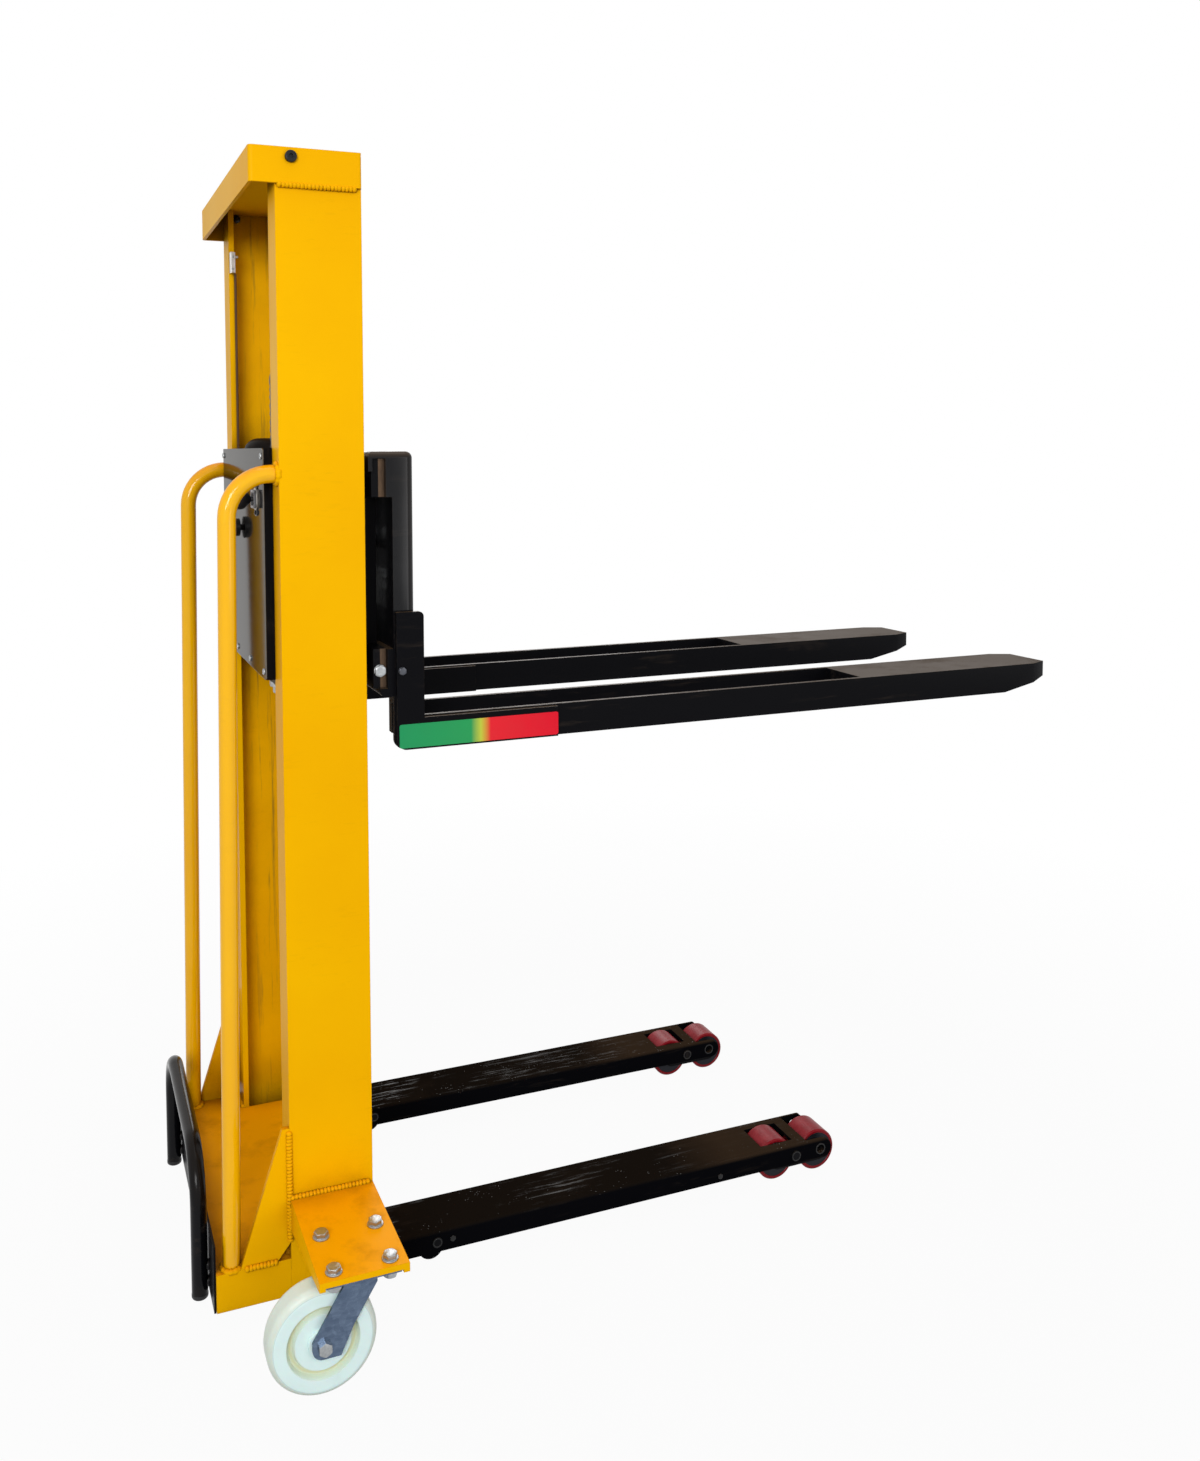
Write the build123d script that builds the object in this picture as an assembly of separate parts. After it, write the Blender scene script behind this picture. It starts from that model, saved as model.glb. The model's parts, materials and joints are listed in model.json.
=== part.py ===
from build123d import *
import math
import os

# Self-loading pallet stacker, in millimetres.
# +X runs from the mast to the fork tips, +Y to the operator's left, +Z up from the floor.
# Along X everything is measured from the front face of the mast. The finished pieces are
# shifted so that the origin lies on the floor under the middle of the whole outline.

# Mast
MAST_WIDTH = 484.0
MAST_TOP = 1619.0
CHANNEL_DEPTH = 118.0
CHANNEL_FLANGE = 54.0
WEB_THICK = 7.0
FLANGE_THICK = 9.0
CHANNEL_ROOT_RADIUS = 8.0
CAP_HEIGHT = 48.0
CAP_WALL = 5.0
CAP_OVERHANG = 35.0
CAP_CORNER_RADIUS = 6.0
CAP_FRONT_RADIUS = 4.0
CAP_SCREW_X = -97.0
CAP_SCREW_DROP = 12.5
CAP_SCREW_DIA = 8.0
CAP_SCREW_HEAD_DIA = 16.0
CAP_SCREW_HEAD = 5.6
CAP_SCREW_ROUND = 2.4
CAP_SOCKET_ACROSS = 6.0
CAP_SOCKET_DEPTH = 3.2
CAP_NUT_ACROSS = 11.0
CAP_NUT_HEIGHT = 6.4

# Base behind and between the uprights
BASE_BOTTOM = 30.0
BASE_REACH = 103.0
DECK_TOP = 84.0
DECK_THICK = 8.0
BEAM_THICK = 10.0
FRONT_PLATE = 10.0
SEAT_DEPTH = 70.0
SEAT_HEIGHT = 30.0
REAR_PLATE_THICK = 3.0
REAR_PLATE_TOP = 122.0
REAR_PLATE_INSET = 6.0
REAR_PLATE_DROP = 3.0
GUSSET_TOP = 272.0
GUSSET_FOOT = 70.0
GUSSET_TIP = 10.0
GUSSET_THICK = 8.0
GUSSET_NOTCH_FOOT = 19.0
GUSSET_NOTCH_TOP = 24.0

# Handles and foot bar
HANDLE_DIA = 25.0
HANDLE_WALL = 2.5
HANDLE_Y = 227.0
HANDLE_BACK = 68.0
HANDLE_LEAN = 12.0
HANDLE_TOP = 1184.0
HANDLE_BEND = 60.0
FOOT_DIA = 23.0
FOOT_WALL = 2.5
FOOT_Y = 178.0
FOOT_GAP = 1.0
FOOT_TOP = 216.0
FOOT_BOTTOM = 23.0
FOOT_BEND = 70.0
FOOT_BOLT_HEIGHTS = (38.0, 62.0)
FOOT_BOLT_DIA = 8.0
FOOT_SPACER_DIA = 15.0

# Caster brackets and casters
BRACKET_REACH = 192.0
BRACKET_TOP = 171.0
BRACKET_THICK = 8.0
BRACKET_SKIRT_INNER = 45.0
BRACKET_SKIRT_OUTER = 12.0
CASTER_OUT = 145.0
CASTER_BOLT_SHIFT = 8.0
CASTER_BOLT_X = 37.0
CASTER_BOLT_Y = 38.0
CASTER_BOLT_DIA = 12.0
WASHER_THICK = 2.0
BOLT_HEAD = 7.0
NUT_HEIGHT = 8.0
BOLT_END = 1.0
HEX_PER_DIA = 1.58
CASTER_PLATE_X = 100.0
CASTER_PLATE_Y = 98.0
CASTER_PLATE_THICK = 6.0
CASTER_WHEEL_DIA = 144.0
CASTER_WHEEL_WIDTH = 38.0
CASTER_HUB_WIDTH = 45.0
CASTER_HUB_DIA = 40.0
CASTER_DISC_WIDTH = 34.0
CASTER_GROOVE_DEPTH = 6.0
CASTER_GROOVE_INNER_DIA = 74.0
CASTER_GROOVE_OUTER_DIA = 96.0
CASTER_GROOVE_SLOPE = 2.5
CASTER_EDGE_RADIUS = 10.0
CASTER_TRAIL = 49.0
LEFT_CASTER_TURN = 180.0
CASTER_AXLE_DIA = 12.0
YOKE_SHEET = 4.0
YOKE_CROWN_DIA = 68.0
YOKE_CROWN_THICK = 5.0
YOKE_WHEEL_GAP = 3.0
YOKE_END_RADIUS = 16.0
YOKE_SIDE_GAP = 0.5
YOKE_TOP_BACK = 20.0
YOKE_FOLD_BACK = 10.0
YOKE_FOLD_RISE = 22.0
YOKE_FOLD_ANGLE = 14.0
YOKE_FLANGE = 34.0
YOKE_FLANGE_DROP = 15.0
YOKE_TOE = 21.0
YOKE_HEEL_RISE = 7.0
RACE_DIA = 62.0
KINGPIN_DIA = 14.0
KINGPIN_NUT = 7.0

# Legs with tandem rollers
LEG_Y = 185.0
LEG_WIDTH = 89.0
LEG_TOP = 63.0
LEG_BOTTOM = 32.0
LEG_WALL = 6.0
LEG_EDGE_RADIUS = 4.0
FRONT_ROLLER_X = 775.0
REAR_ROLLER_X = 695.0
ROLLER_DIA = 68.0
ROLLER_WIDTH = 50.0
ROLLER_HUB_DIA = 56.0
ROLLER_HUB_PROUD = 1.6
ROLLER_BOSS = 7.0
ROLLER_AXLE_DIA = 12.0
ROLLER_AXLE_END = 2.0
ROLLER_EDGE = 2.0
ROLLER_DISH = 1.0
ROLLER_OPENING = 30.0
EAR_RADIUS = 16.0
EAR_HOLE_DIA = 14.0
EAR_HOLE_BACK = 5.0
BOGIE_PLATE = 6.0
BOGIE_GAP = 2.0
BOGIE_RADIUS = 13.0
BOGIE_PIVOT_X = 722.0
BOGIE_PIVOT_Z = 45.0
BOGIE_PIVOT_RADIUS = 11.0
BOGIE_PIN_DIA = 14.0
SLIDE_LUG_X = 90.0
SLIDE_LUG_RADIUS = 19.0
SLIDE_LUG_Z = 43.0
SLIDE_PIN_X = 100.0
SLIDE_PIN_Z = 47.0
SLIDE_PIN_DIA = 12.0
PIN_HEAD = 1.5
PIN_RIM = 2.0

# Forks
FORK_Y = 185.0
FORK_WIDTH = 110.0
FORK_BAR = 8.0
FORK_TOP = 838.5
FORK_HEIGHT = 46.5
FORK_TIP = 1230.0
FORK_SLOT_END = 836.0
FORK_TOP_PLATE = 12.0
FORK_NOSE_LENGTH = 98.0
FORK_NOSE_THICK = 26.0
FORK_CORNER_LENGTH = 35.0
FORK_CORNER_WIDTH = 15.0
SHANK_REAR = 40.0
SHANK_DEPTH = 32.0
SHANK_FRONT_RADIUS = 12.0
SHANK_TOP_RADIUS = 9.0
DOUBLER_THICK = 8.0
DOUBLER_END = 288.0
DOUBLER_FRONT = 82.0
DOUBLER_TOP = 988.0
DOUBLER_DROP = 2.0
DOUBLER_INSET = 2.0
HEEL_RADIUS = 14.0
HOOK_THICK = 10.0
HOOK_LIP = 6.0
HOOK_LIP_DROP = 18.0
CLIP_DROP = 12.0
CLIP_REACH = 11.0
CLIP_RADIUS = 8.0

# Carriage
BAR_REAR = 12.0
BAR_DEPTH = 19.0
BAR_WIDTH = 464.0
UPPER_BAR_BOTTOM = 1150.0
UPPER_BAR_TOP = 1204.0
LOWER_BAR_BOTTOM = 880.0
LOWER_BAR_TOP = 936.0
CARRIAGE_BOLT_Z = 905.0
CARRIAGE_BOLT_DIA = 10.0
CARRIAGE_BOLT_HEAD = 6.5
SIDE_PLATE_GAP = 7.0
SIDE_PLATE_THICK = 10.0
SIDE_PLATE_REAR = -84.0
SIDE_PLATE_NECK = -40.0
MAST_ROLLER_SLACK = 3.0
MAST_ROLLER_WIDTH = 30.0
MAST_ROLLER_EDGE = 3.0
MAST_ROLLER_GROOVE = 8.0
MAST_ROLLER_GROOVE_DEPTH = 2.0
MAST_ROLLER_HEIGHTS = (920.0, 1164.0)
STUB_DIA = 30.0
STUB_SHOULDER = 5.0
ANCHOR_BAR_THICK = 18.0
ANCHOR_BAR_BOTTOM = 1035.0
ANCHOR_BAR_HEIGHT = 30.0
ANCHOR_STUD_DIA = 14.0
ANCHOR_STUD_HEIGHT = 20.0

# Hydraulic lift with leaf chains
CYLINDER_X = -40.0
BARREL_DIA = 56.0
BARREL_BORE = 44.0
BARREL_TOP = 880.0
BARREL_FOOT = 12.0
GLAND_DIA = 60.0
GLAND_HEIGHT = 25.0
GLAND_CHAMFER = 3.0
RAM_DIA = 36.0
RAM_BOTTOM = 600.0
PISTON_HEIGHT = 30.0
SHEAVE_Z = 1325.0
SHEAVE_PITCH_RADIUS = 34.0
SHEAVE_WIDTH = 18.0
SHEAVE_FLANGE = 4.0
SHEAVE_AXLE_DIA = 16.0
CHAIN_Y = 45.0
CHAIN_HEIGHT = 10.0
CHAIN_WIDTH = 9.0
CHAIN_BRACKET_DROP = 30.0
CHAIN_BRACKET_FRONT = 12.0
CHAIN_BRACKET_THICK = 12.0
CHAIN_BRACKET_WIDTH = 116.0
CROSSHEAD_WIDTH = 24.0
CROSSHEAD_BELOW = 35.0
CROSSHEAD_ABOVE = 15.0
CROSSHEAD_PIN_END = 4.0
PIPE_DIA = 10.0
PIPE_Y = 70.0
PIPE_PORT_Z = 150.0
PIPE_BEND = 30.0

# Control panel, power unit and battery
RAIL_THICK = 8.0
RAIL_HEIGHT = 34.0
PANEL_BOTTOM = 895.0
PANEL_TOP = 1219.0
PANEL_WIDTH = 384.0
PANEL_SHEET = 2.0
PANEL_CORNER = 3.0
TRAY_DEPTH = 12.0
TRAY_WALL = 3.0
PANEL_SCREW_DIA = 9.0
PANEL_SCREW_HEAD = 2.5
PANEL_SCREW_EDGE = 11.0
PANEL_SCREW_SPREAD = (-184.0, -61.0, 61.0, 184.0)
SHELF_INNER = 62.0
SHELF_OUTER = 164.0
SHELF_THICK = 8.0
SHELF_LIFT = 2.0
SHELF_FRONT = -12.0
UNIT_SIZE = 96.0
UNIT_Y = 112.0
TANK_HEIGHT = 95.0
TANK_INSET = 14.0
TANK_CORNER = 8.0
PUMP_BLOCK_HEIGHT = 50.0
PUMP_BLOCK_CHAMFER = 6.0
MOTOR_TOP = 1236.0
MOTOR_DOME = 24.0
BATTERY_HEIGHT = 170.0
BATTERY_CORNER = 5.0
BATTERY_LID = 4.0
BATTERY_LID_INSET = 3.0
BATTERY_TERMINAL = 12.0
BATTERY_TERMINAL_DIA = 14.0
LEVER_Y = -140.0
LEVER_Z = 1147.0
LEVER_SHAFT_DIA = 8.0
LEVER_SHAFT_LENGTH = 16.5
LEVER_TRUNNION_DIA = 5.0
LEVER_EAR_GAP = 1.0
LEVER_EAR_THICK = 3.5
LEVER_EAR_HEIGHT = 14.0
LEVER_HOLE_DIA = 18.0
LEVER_COLLAR_DIA = 32.0
LEVER_COLLAR_THICK = 3.0
LEVER_GRIP_LENGTH = 33.0
LEVER_GRIP_SMALL_DIA = 14.0
LEVER_GRIP_LARGE_DIA = 30.0
KNOB_Y = 65.0
KNOB_Z = 1095.0
KNOB_DIA = 34.0
KNOB_THICK = 13.0
KNOB_STEM_DIA = 10.0
KNOB_TRAVEL = 5.0
KNOB_COLLAR_DIA = 28.0
KNOB_COLLAR_THICK = 6.0

# Limit switch and its cable
SWITCH_WIDTH = 14.0
SWITCH_DEPTH = 8.0
SWITCH_HEIGHT = 34.0
SWITCH_TOP = 1543.0
SWITCH_BUTTON = 5.0
SWITCH_BUTTON_DIA = 6.0
CABLE_DIA = 4.0
CABLE_BEND = 8.0

# Clearances
RUNNING_FIT = 0.05
HOLE_SLACK = 0.3
SEAT_GAP = 0.3
OVERCUT = 1.0

# Places worked out from the sizes above
HALF_MAST = MAST_WIDTH / 2
FLANGE_TIP_Y = HALF_MAST - CHANNEL_FLANGE
CHANNEL_MID_X = -CHANNEL_DEPTH / 2
UPRIGHT_TOP = MAST_TOP - CAP_WALL
BASE_REAR = -CHANNEL_DEPTH - BASE_REACH
DECK_BOTTOM = DECK_TOP - DECK_THICK
FOOT_X = BASE_REAR - REAR_PLATE_THICK - FOOT_GAP - FOOT_DIA / 2
HANDLE_X = -CHANNEL_DEPTH - HANDLE_BACK
SHIFT_X = -(FORK_TIP + FOOT_X - FOOT_DIA / 2) / 2
CASTER_X = CHANNEL_MID_X
CASTER_Y = HALF_MAST + CASTER_OUT
BRACKET_UNDER = BRACKET_TOP - BRACKET_THICK
CASTER_PLATE_BOTTOM = BRACKET_UNDER - CASTER_PLATE_THICK
CASTER_AXLE_X = CASTER_X - CASTER_TRAIL
CASTER_AXLE_Z = CASTER_WHEEL_DIA / 2
CROWN_BOTTOM = CASTER_WHEEL_DIA + YOKE_WHEEL_GAP
CROWN_TOP = CROWN_BOTTOM + YOKE_CROWN_THICK
YOKE_INNER = CASTER_HUB_WIDTH / 2 + YOKE_SIDE_GAP
YOKE_OUTER = YOKE_INNER + YOKE_SHEET
YOKE_FOLD_X = CASTER_X - YOKE_FOLD_BACK
LEG_REAR = FRONT_PLATE
LEG_INNER = LEG_WIDTH / 2 - LEG_WALL
EAR_Z = LEG_TOP - EAR_RADIUS
ROLLER_Z = ROLLER_DIA / 2
BOGIE_INNER = ROLLER_WIDTH / 2 + BOGIE_GAP
BOGIE_OUTER = BOGIE_INNER + BOGIE_PLATE
FORK_BOTTOM = FORK_TOP - FORK_HEIGHT
FORK_INNER = FORK_WIDTH - 2 * FORK_BAR
SHANK_FRONT = SHANK_REAR + SHANK_DEPTH
SHANK_TOP = UPPER_BAR_TOP + HOOK_THICK
BAR_FRONT = BAR_REAR + BAR_DEPTH
SIDE_PLATE_OUT = FLANGE_TIP_Y - SIDE_PLATE_GAP
SIDE_PLATE_IN = SIDE_PLATE_OUT - SIDE_PLATE_THICK
MAST_ROLLER_DIA = CHANNEL_DEPTH - 2 * FLANGE_THICK - MAST_ROLLER_SLACK
ANCHOR_BAR_TOP = ANCHOR_BAR_BOTTOM + ANCHOR_BAR_HEIGHT
ANCHOR_STUD_TOP = ANCHOR_BAR_TOP + ANCHOR_STUD_HEIGHT
CHAIN_FRONT_X = CYLINDER_X + SHEAVE_PITCH_RADIUS
CHAIN_REAR_X = CYLINDER_X - SHEAVE_PITCH_RADIUS
CHAIN_BRACKET_Z = BARREL_TOP - CHAIN_BRACKET_DROP
CHAIN_BRACKET_TOP = CHAIN_BRACKET_Z + CHAIN_BRACKET_THICK
RAM_TOP = SHEAVE_Z - CROSSHEAD_BELOW
RAIL_FRONT = -CHANNEL_DEPTH + RAIL_THICK
TRAY_REAR = -CHANNEL_DEPTH - TRAY_DEPTH
PANEL_REAR = TRAY_REAR - PANEL_SHEET
SHELF_TOP = PANEL_BOTTOM + SHELF_LIFT + SHELF_THICK
UNIT_X = RAIL_FRONT + UNIT_SIZE / 2
TANK_TOP = SHELF_TOP + TANK_HEIGHT
PUMP_BLOCK_TOP = TANK_TOP + PUMP_BLOCK_HEIGHT
LEVER_PIVOT_X = -CHANNEL_DEPTH - TRAY_WALL - (TRAY_DEPTH - TRAY_WALL) / 2

nodes = {}


def put(name, *solids):
    nodes[name] = list(solids)


def flip(shape):
    return mirror(shape, about=Plane.XZ)


def put_pair(name, shape):
    put(name + "_right", shape)
    put(name + "_left", flip(shape))


def block(x0, x1, y0, y1, z0, z1):
    return Pos((x0 + x1) / 2, (y0 + y1) / 2, (z0 + z1) / 2) * Box(x1 - x0, y1 - y0, z1 - z0)


def rod_x(x0, x1, y, z, radius):
    return Pos((x0 + x1) / 2, y, z) * Rot(0, 90, 0) * Cylinder(radius, x1 - x0)


def rod_y(x, y0, y1, z, radius):
    return Pos(x, (y0 + y1) / 2, z) * Rot(90, 0, 0) * Cylinder(radius, y1 - y0)


def rod_z(x, y, z0, z1, radius):
    return Pos(x, y, (z0 + z1) / 2) * Cylinder(radius, z1 - z0)


def outline(*points):
    return make_face(Polyline(*points, close=True))


def rounded(face, radius, keep=lambda v: True):
    return fillet([v for v in face.vertices() if keep(v)], radius)


def slab_xz(face, y0, y1):
    return extrude(Plane.XZ.offset(-y1) * face, y1 - y0)


def slab_xy(face, z0, z1):
    return extrude(Plane.XY.offset(z0) * face, z1 - z0)


def slab_yz(face, x0, x1):
    return extrude(Plane.YZ.offset(x0) * face, x1 - x0)


def hex_y(x, y0, y1, z, across):
    corner = across / math.sqrt(3)
    return slab_xz(Pos(x, z) * RegularPolygon(corner, 6), y0, y1)


def hex_z(x, y, z0, z1, across):
    corner = across / math.sqrt(3)
    return slab_xy(Pos(x, y) * RegularPolygon(corner, 6), z0, z1)


def pipe(points, bend, diameter, wall=0.0):
    path = FilletPolyline(*points, radius=bend)
    start = Plane(origin=path @ 0, z_dir=path % 0)
    tube = sweep(start * Circle(diameter / 2), path=path)
    if wall:
        tube -= sweep(start * Circle(diameter / 2 - wall), path=path)
    return tube


def turned(profile, x, y, z):
    # profile holds (radius, place along Y) points, turned about a line along Y
    section = outline(*profile)
    spun = revolve(Plane.XY * section, Axis.Y)
    return Pos(x, y, z) * spun


# Mast

def mast_channel():
    inner_y = -HALF_MAST + WEB_THICK
    section = outline(
        (0, -HALF_MAST),
        (0, -FLANGE_TIP_Y),
        (-FLANGE_THICK, -FLANGE_TIP_Y),
        (-FLANGE_THICK, inner_y),
        (-CHANNEL_DEPTH + FLANGE_THICK, inner_y),
        (-CHANNEL_DEPTH + FLANGE_THICK, -FLANGE_TIP_Y),
        (-CHANNEL_DEPTH, -FLANGE_TIP_Y),
        (-CHANNEL_DEPTH, -HALF_MAST),
    )
    section = rounded(section, CHANNEL_ROOT_RADIUS, lambda v: abs(v.Y - inner_y) < 0.01)
    channel = slab_xy(section, BASE_BOTTOM, UPRIGHT_TOP)
    return channel - cap_screw_hole()


def cap_screw_hole():
    z = MAST_TOP - CAP_SCREW_DROP
    radius = CAP_SCREW_DIA / 2 + HOLE_SLACK
    return rod_y(CAP_SCREW_X, -HALF_MAST - 2 * CAP_WALL, -HALF_MAST + 2 * WEB_THICK, z, radius)


def mast_head_cap():
    rear = -CHANNEL_DEPTH - CAP_OVERHANG
    half = HALF_MAST + CAP_WALL
    bottom = MAST_TOP - CAP_HEIGHT
    cap = block(rear, 0, -half, half, bottom, MAST_TOP)
    cap = fillet(cap.edges().filter_by(Axis.Z).group_by(Axis.X)[0], CAP_CORNER_RADIUS)
    cap = fillet(cap.edges().filter_by(Axis.Z).group_by(Axis.X)[-1], CAP_FRONT_RADIUS)
    cap -= block(rear + CAP_WALL, OVERCUT, -HALF_MAST, HALF_MAST, bottom - OVERCUT, UPRIGHT_TOP)
    cap += block(-CAP_WALL, 0, -FLANGE_TIP_Y, FLANGE_TIP_Y, bottom, MAST_TOP)
    hole = cap_screw_hole()
    return cap - hole - flip(hole)


def cap_screw():
    z = MAST_TOP - CAP_SCREW_DROP
    face = -HALF_MAST - CAP_WALL
    inside = -HALF_MAST + WEB_THICK
    top = face - CAP_SCREW_HEAD
    head = rod_y(CAP_SCREW_X, top, face, z, CAP_SCREW_HEAD_DIA / 2)
    head = fillet(head.edges().group_by(Axis.Y)[0], CAP_SCREW_ROUND)
    head -= hex_y(CAP_SCREW_X, top, top + CAP_SOCKET_DEPTH, z, CAP_SOCKET_ACROSS)
    nut_end = inside + CAP_NUT_HEIGHT
    shank = rod_y(CAP_SCREW_X, face, nut_end + BOLT_END, z, CAP_SCREW_DIA / 2)
    nut = hex_y(CAP_SCREW_X, inside, nut_end, z, CAP_NUT_ACROSS)
    return head + shank + nut


# Base

def base_frame():
    inner_beam = HALF_MAST - BEAM_THICK
    deck = block(BASE_REAR, -CHANNEL_DEPTH, -HALF_MAST, HALF_MAST, DECK_BOTTOM, DECK_TOP)
    deck += block(-CHANNEL_DEPTH, 0, -FLANGE_TIP_Y, FLANGE_TIP_Y, DECK_BOTTOM, DECK_TOP)
    beam = block(BASE_REAR, -CHANNEL_DEPTH, -HALF_MAST, -inner_beam, BASE_BOTTOM, DECK_BOTTOM)
    rear = block(BASE_REAR, BASE_REAR + BEAM_THICK, -inner_beam, inner_beam, BASE_BOTTOM, DECK_BOTTOM)
    front = block(0, FRONT_PLATE, -HALF_MAST, HALF_MAST, BASE_BOTTOM, DECK_TOP)
    seat_rear = CYLINDER_X - SEAT_DEPTH / 2
    seat = block(
        seat_rear, seat_rear + SEAT_DEPTH, -FLANGE_TIP_Y, FLANGE_TIP_Y,
        DECK_BOTTOM - SEAT_HEIGHT, DECK_BOTTOM,
    )
    return deck + beam + flip(beam) + rear + front + seat


def base_rear_plate():
    half = HALF_MAST - REAR_PLATE_INSET
    plate = block(
        BASE_REAR - REAR_PLATE_THICK, BASE_REAR, -half, half,
        BASE_BOTTOM - REAR_PLATE_DROP, REAR_PLATE_TOP,
    )
    for y in (-FOOT_Y, FOOT_Y):
        for z in FOOT_BOLT_HEIGHTS:
            plate -= rod_x(FOOT_X, BASE_REAR + OVERCUT, y, z, FOOT_BOLT_DIA / 2 + HOLE_SLACK)
    return plate


def base_gusset():
    rear = -CHANNEL_DEPTH
    side = outline(
        (rear, DECK_TOP + GUSSET_NOTCH_TOP),
        (rear - GUSSET_NOTCH_FOOT, DECK_TOP),
        (rear - GUSSET_FOOT, DECK_TOP),
        (rear - GUSSET_TIP, GUSSET_TOP),
        (rear, GUSSET_TOP),
    )
    plate = slab_xz(side, -HALF_MAST, -HALF_MAST + GUSSET_THICK)
    return plate - pipe(handle_path(), HANDLE_BEND, HANDLE_DIA + 2 * RUNNING_FIT)


def handle_path():
    # the tube leans back a little towards its foot, which is cut level with the deck
    return (
        (-CHANNEL_DEPTH, -HANDLE_Y, HANDLE_TOP),
        (HANDLE_X, -HANDLE_Y, HANDLE_TOP),
        (HANDLE_X - HANDLE_LEAN, -HANDLE_Y, DECK_TOP - OVERCUT),
    )


def handle():
    tube = pipe(handle_path(), HANDLE_BEND, HANDLE_DIA, HANDLE_WALL)
    return tube - block(BASE_REAR, -CHANNEL_DEPTH, -HALF_MAST, 0, DECK_BOTTOM, DECK_TOP)


def foot_bar():
    points = (
        (FOOT_X, -FOOT_Y, FOOT_BOTTOM),
        (FOOT_X, -FOOT_Y, FOOT_TOP),
        (FOOT_X, FOOT_Y, FOOT_TOP),
        (FOOT_X, FOOT_Y, FOOT_BOTTOM),
    )
    bar = pipe(points, FOOT_BEND, FOOT_DIA, FOOT_WALL)
    for y in (-FOOT_Y, FOOT_Y):
        for z in FOOT_BOLT_HEIGHTS:
            bar -= rod_x(FOOT_X, FOOT_X + FOOT_DIA, y, z, FOOT_BOLT_DIA / 2 + HOLE_SLACK)
    return bar


def foot_bar_bolt(y, z):
    # a stud from inside the tube, through its spacer and the rear plate
    radius = FOOT_BOLT_DIA / 2
    stud = rod_x(FOOT_X, BASE_REAR, y, z, radius)
    spacer = rod_x(FOOT_X, BASE_REAR - REAR_PLATE_THICK, y, z, FOOT_SPACER_DIA / 2)
    return stud + (spacer - rod_z(FOOT_X, y, 0, FOOT_TOP, FOOT_DIA / 2 + RUNNING_FIT))


# Casters

def caster_bracket():
    outer = HALF_MAST + BRACKET_REACH
    plate = block(-CHANNEL_DEPTH, 0, -outer, -HALF_MAST, BRACKET_UNDER, BRACKET_TOP)
    skirt = outline(
        (-HALF_MAST, BRACKET_UNDER),
        (-HALF_MAST, BRACKET_TOP - BRACKET_SKIRT_INNER),
        (-outer, BRACKET_TOP - BRACKET_SKIRT_OUTER),
        (-outer, BRACKET_UNDER),
    )
    plate += slab_yz(skirt, -CHANNEL_DEPTH, -CHANNEL_DEPTH + BRACKET_THICK)
    plate += slab_yz(skirt, -BRACKET_THICK, 0)
    return plate - caster_bolt_holes(CASTER_BOLT_DIA / 2 + HOLE_SLACK)


def caster_bolt_places():
    for dx in (-CASTER_BOLT_X, CASTER_BOLT_X):
        for dy in (-CASTER_BOLT_Y, CASTER_BOLT_Y):
            yield CASTER_X + dx, -CASTER_Y + CASTER_BOLT_SHIFT + dy


def caster_bolt_holes(radius):
    bottom, top = CASTER_PLATE_BOTTOM - OVERCUT, BRACKET_TOP + OVERCUT
    holes = [rod_z(x, y, bottom, top, radius) for x, y in caster_bolt_places()]
    return holes[0] + holes[1:]


def caster_bolt(x, y):
    across = CASTER_BOLT_DIA * HEX_PER_DIA
    seat = BRACKET_TOP + WASHER_THICK
    nut_bottom = CASTER_PLATE_BOTTOM - NUT_HEIGHT
    washer = rod_z(x, y, BRACKET_TOP, seat, CASTER_BOLT_DIA)
    head = hex_z(x, y, seat, seat + BOLT_HEAD, across)
    shank = rod_z(x, y, nut_bottom - BOLT_END, seat, CASTER_BOLT_DIA / 2)
    nut = hex_z(x, y, nut_bottom, CASTER_PLATE_BOTTOM, across)
    return washer + head + shank + nut


def caster_plate():
    y = -CASTER_Y + CASTER_BOLT_SHIFT
    plate = block(
        CASTER_X - CASTER_PLATE_X / 2, CASTER_X + CASTER_PLATE_X / 2,
        y - CASTER_PLATE_Y / 2, y + CASTER_PLATE_Y / 2,
        CASTER_PLATE_BOTTOM, BRACKET_UNDER,
    )
    plate -= caster_bolt_holes(CASTER_BOLT_DIA / 2 + HOLE_SLACK)
    race = rod_z(CASTER_X, -CASTER_Y, CROWN_TOP + SEAT_GAP, CASTER_PLATE_BOTTOM, RACE_DIA / 2)
    nut_top = CROWN_BOTTOM - SEAT_GAP
    nut_bottom = nut_top - KINGPIN_NUT
    pin = rod_z(CASTER_X, -CASTER_Y, nut_bottom - BOLT_END, CASTER_PLATE_BOTTOM, KINGPIN_DIA / 2)
    nut = hex_z(CASTER_X, -CASTER_Y, nut_bottom, nut_top, KINGPIN_DIA * HEX_PER_DIA)
    return plate + race + pin + nut


def yoke_side():
    # outline of the plate behind the fold, which carries the axle
    low = CASTER_AXLE_Z - YOKE_END_RADIUS
    heel = CASTER_AXLE_X - YOKE_END_RADIUS
    side = outline(
        (YOKE_FOLD_X, CROWN_TOP),
        (CASTER_X - YOKE_TOP_BACK, CROWN_TOP),
        (heel, CASTER_AXLE_Z + YOKE_HEEL_RISE),
        (heel, low),
        (CASTER_AXLE_X + YOKE_TOE, low),
        (YOKE_FOLD_X, CASTER_AXLE_Z + YOKE_FOLD_RISE),
    )
    return rounded(side, YOKE_END_RADIUS * 0.9, lambda v: abs(v.X - heel) + abs(v.Y - low) < 0.01)


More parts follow.
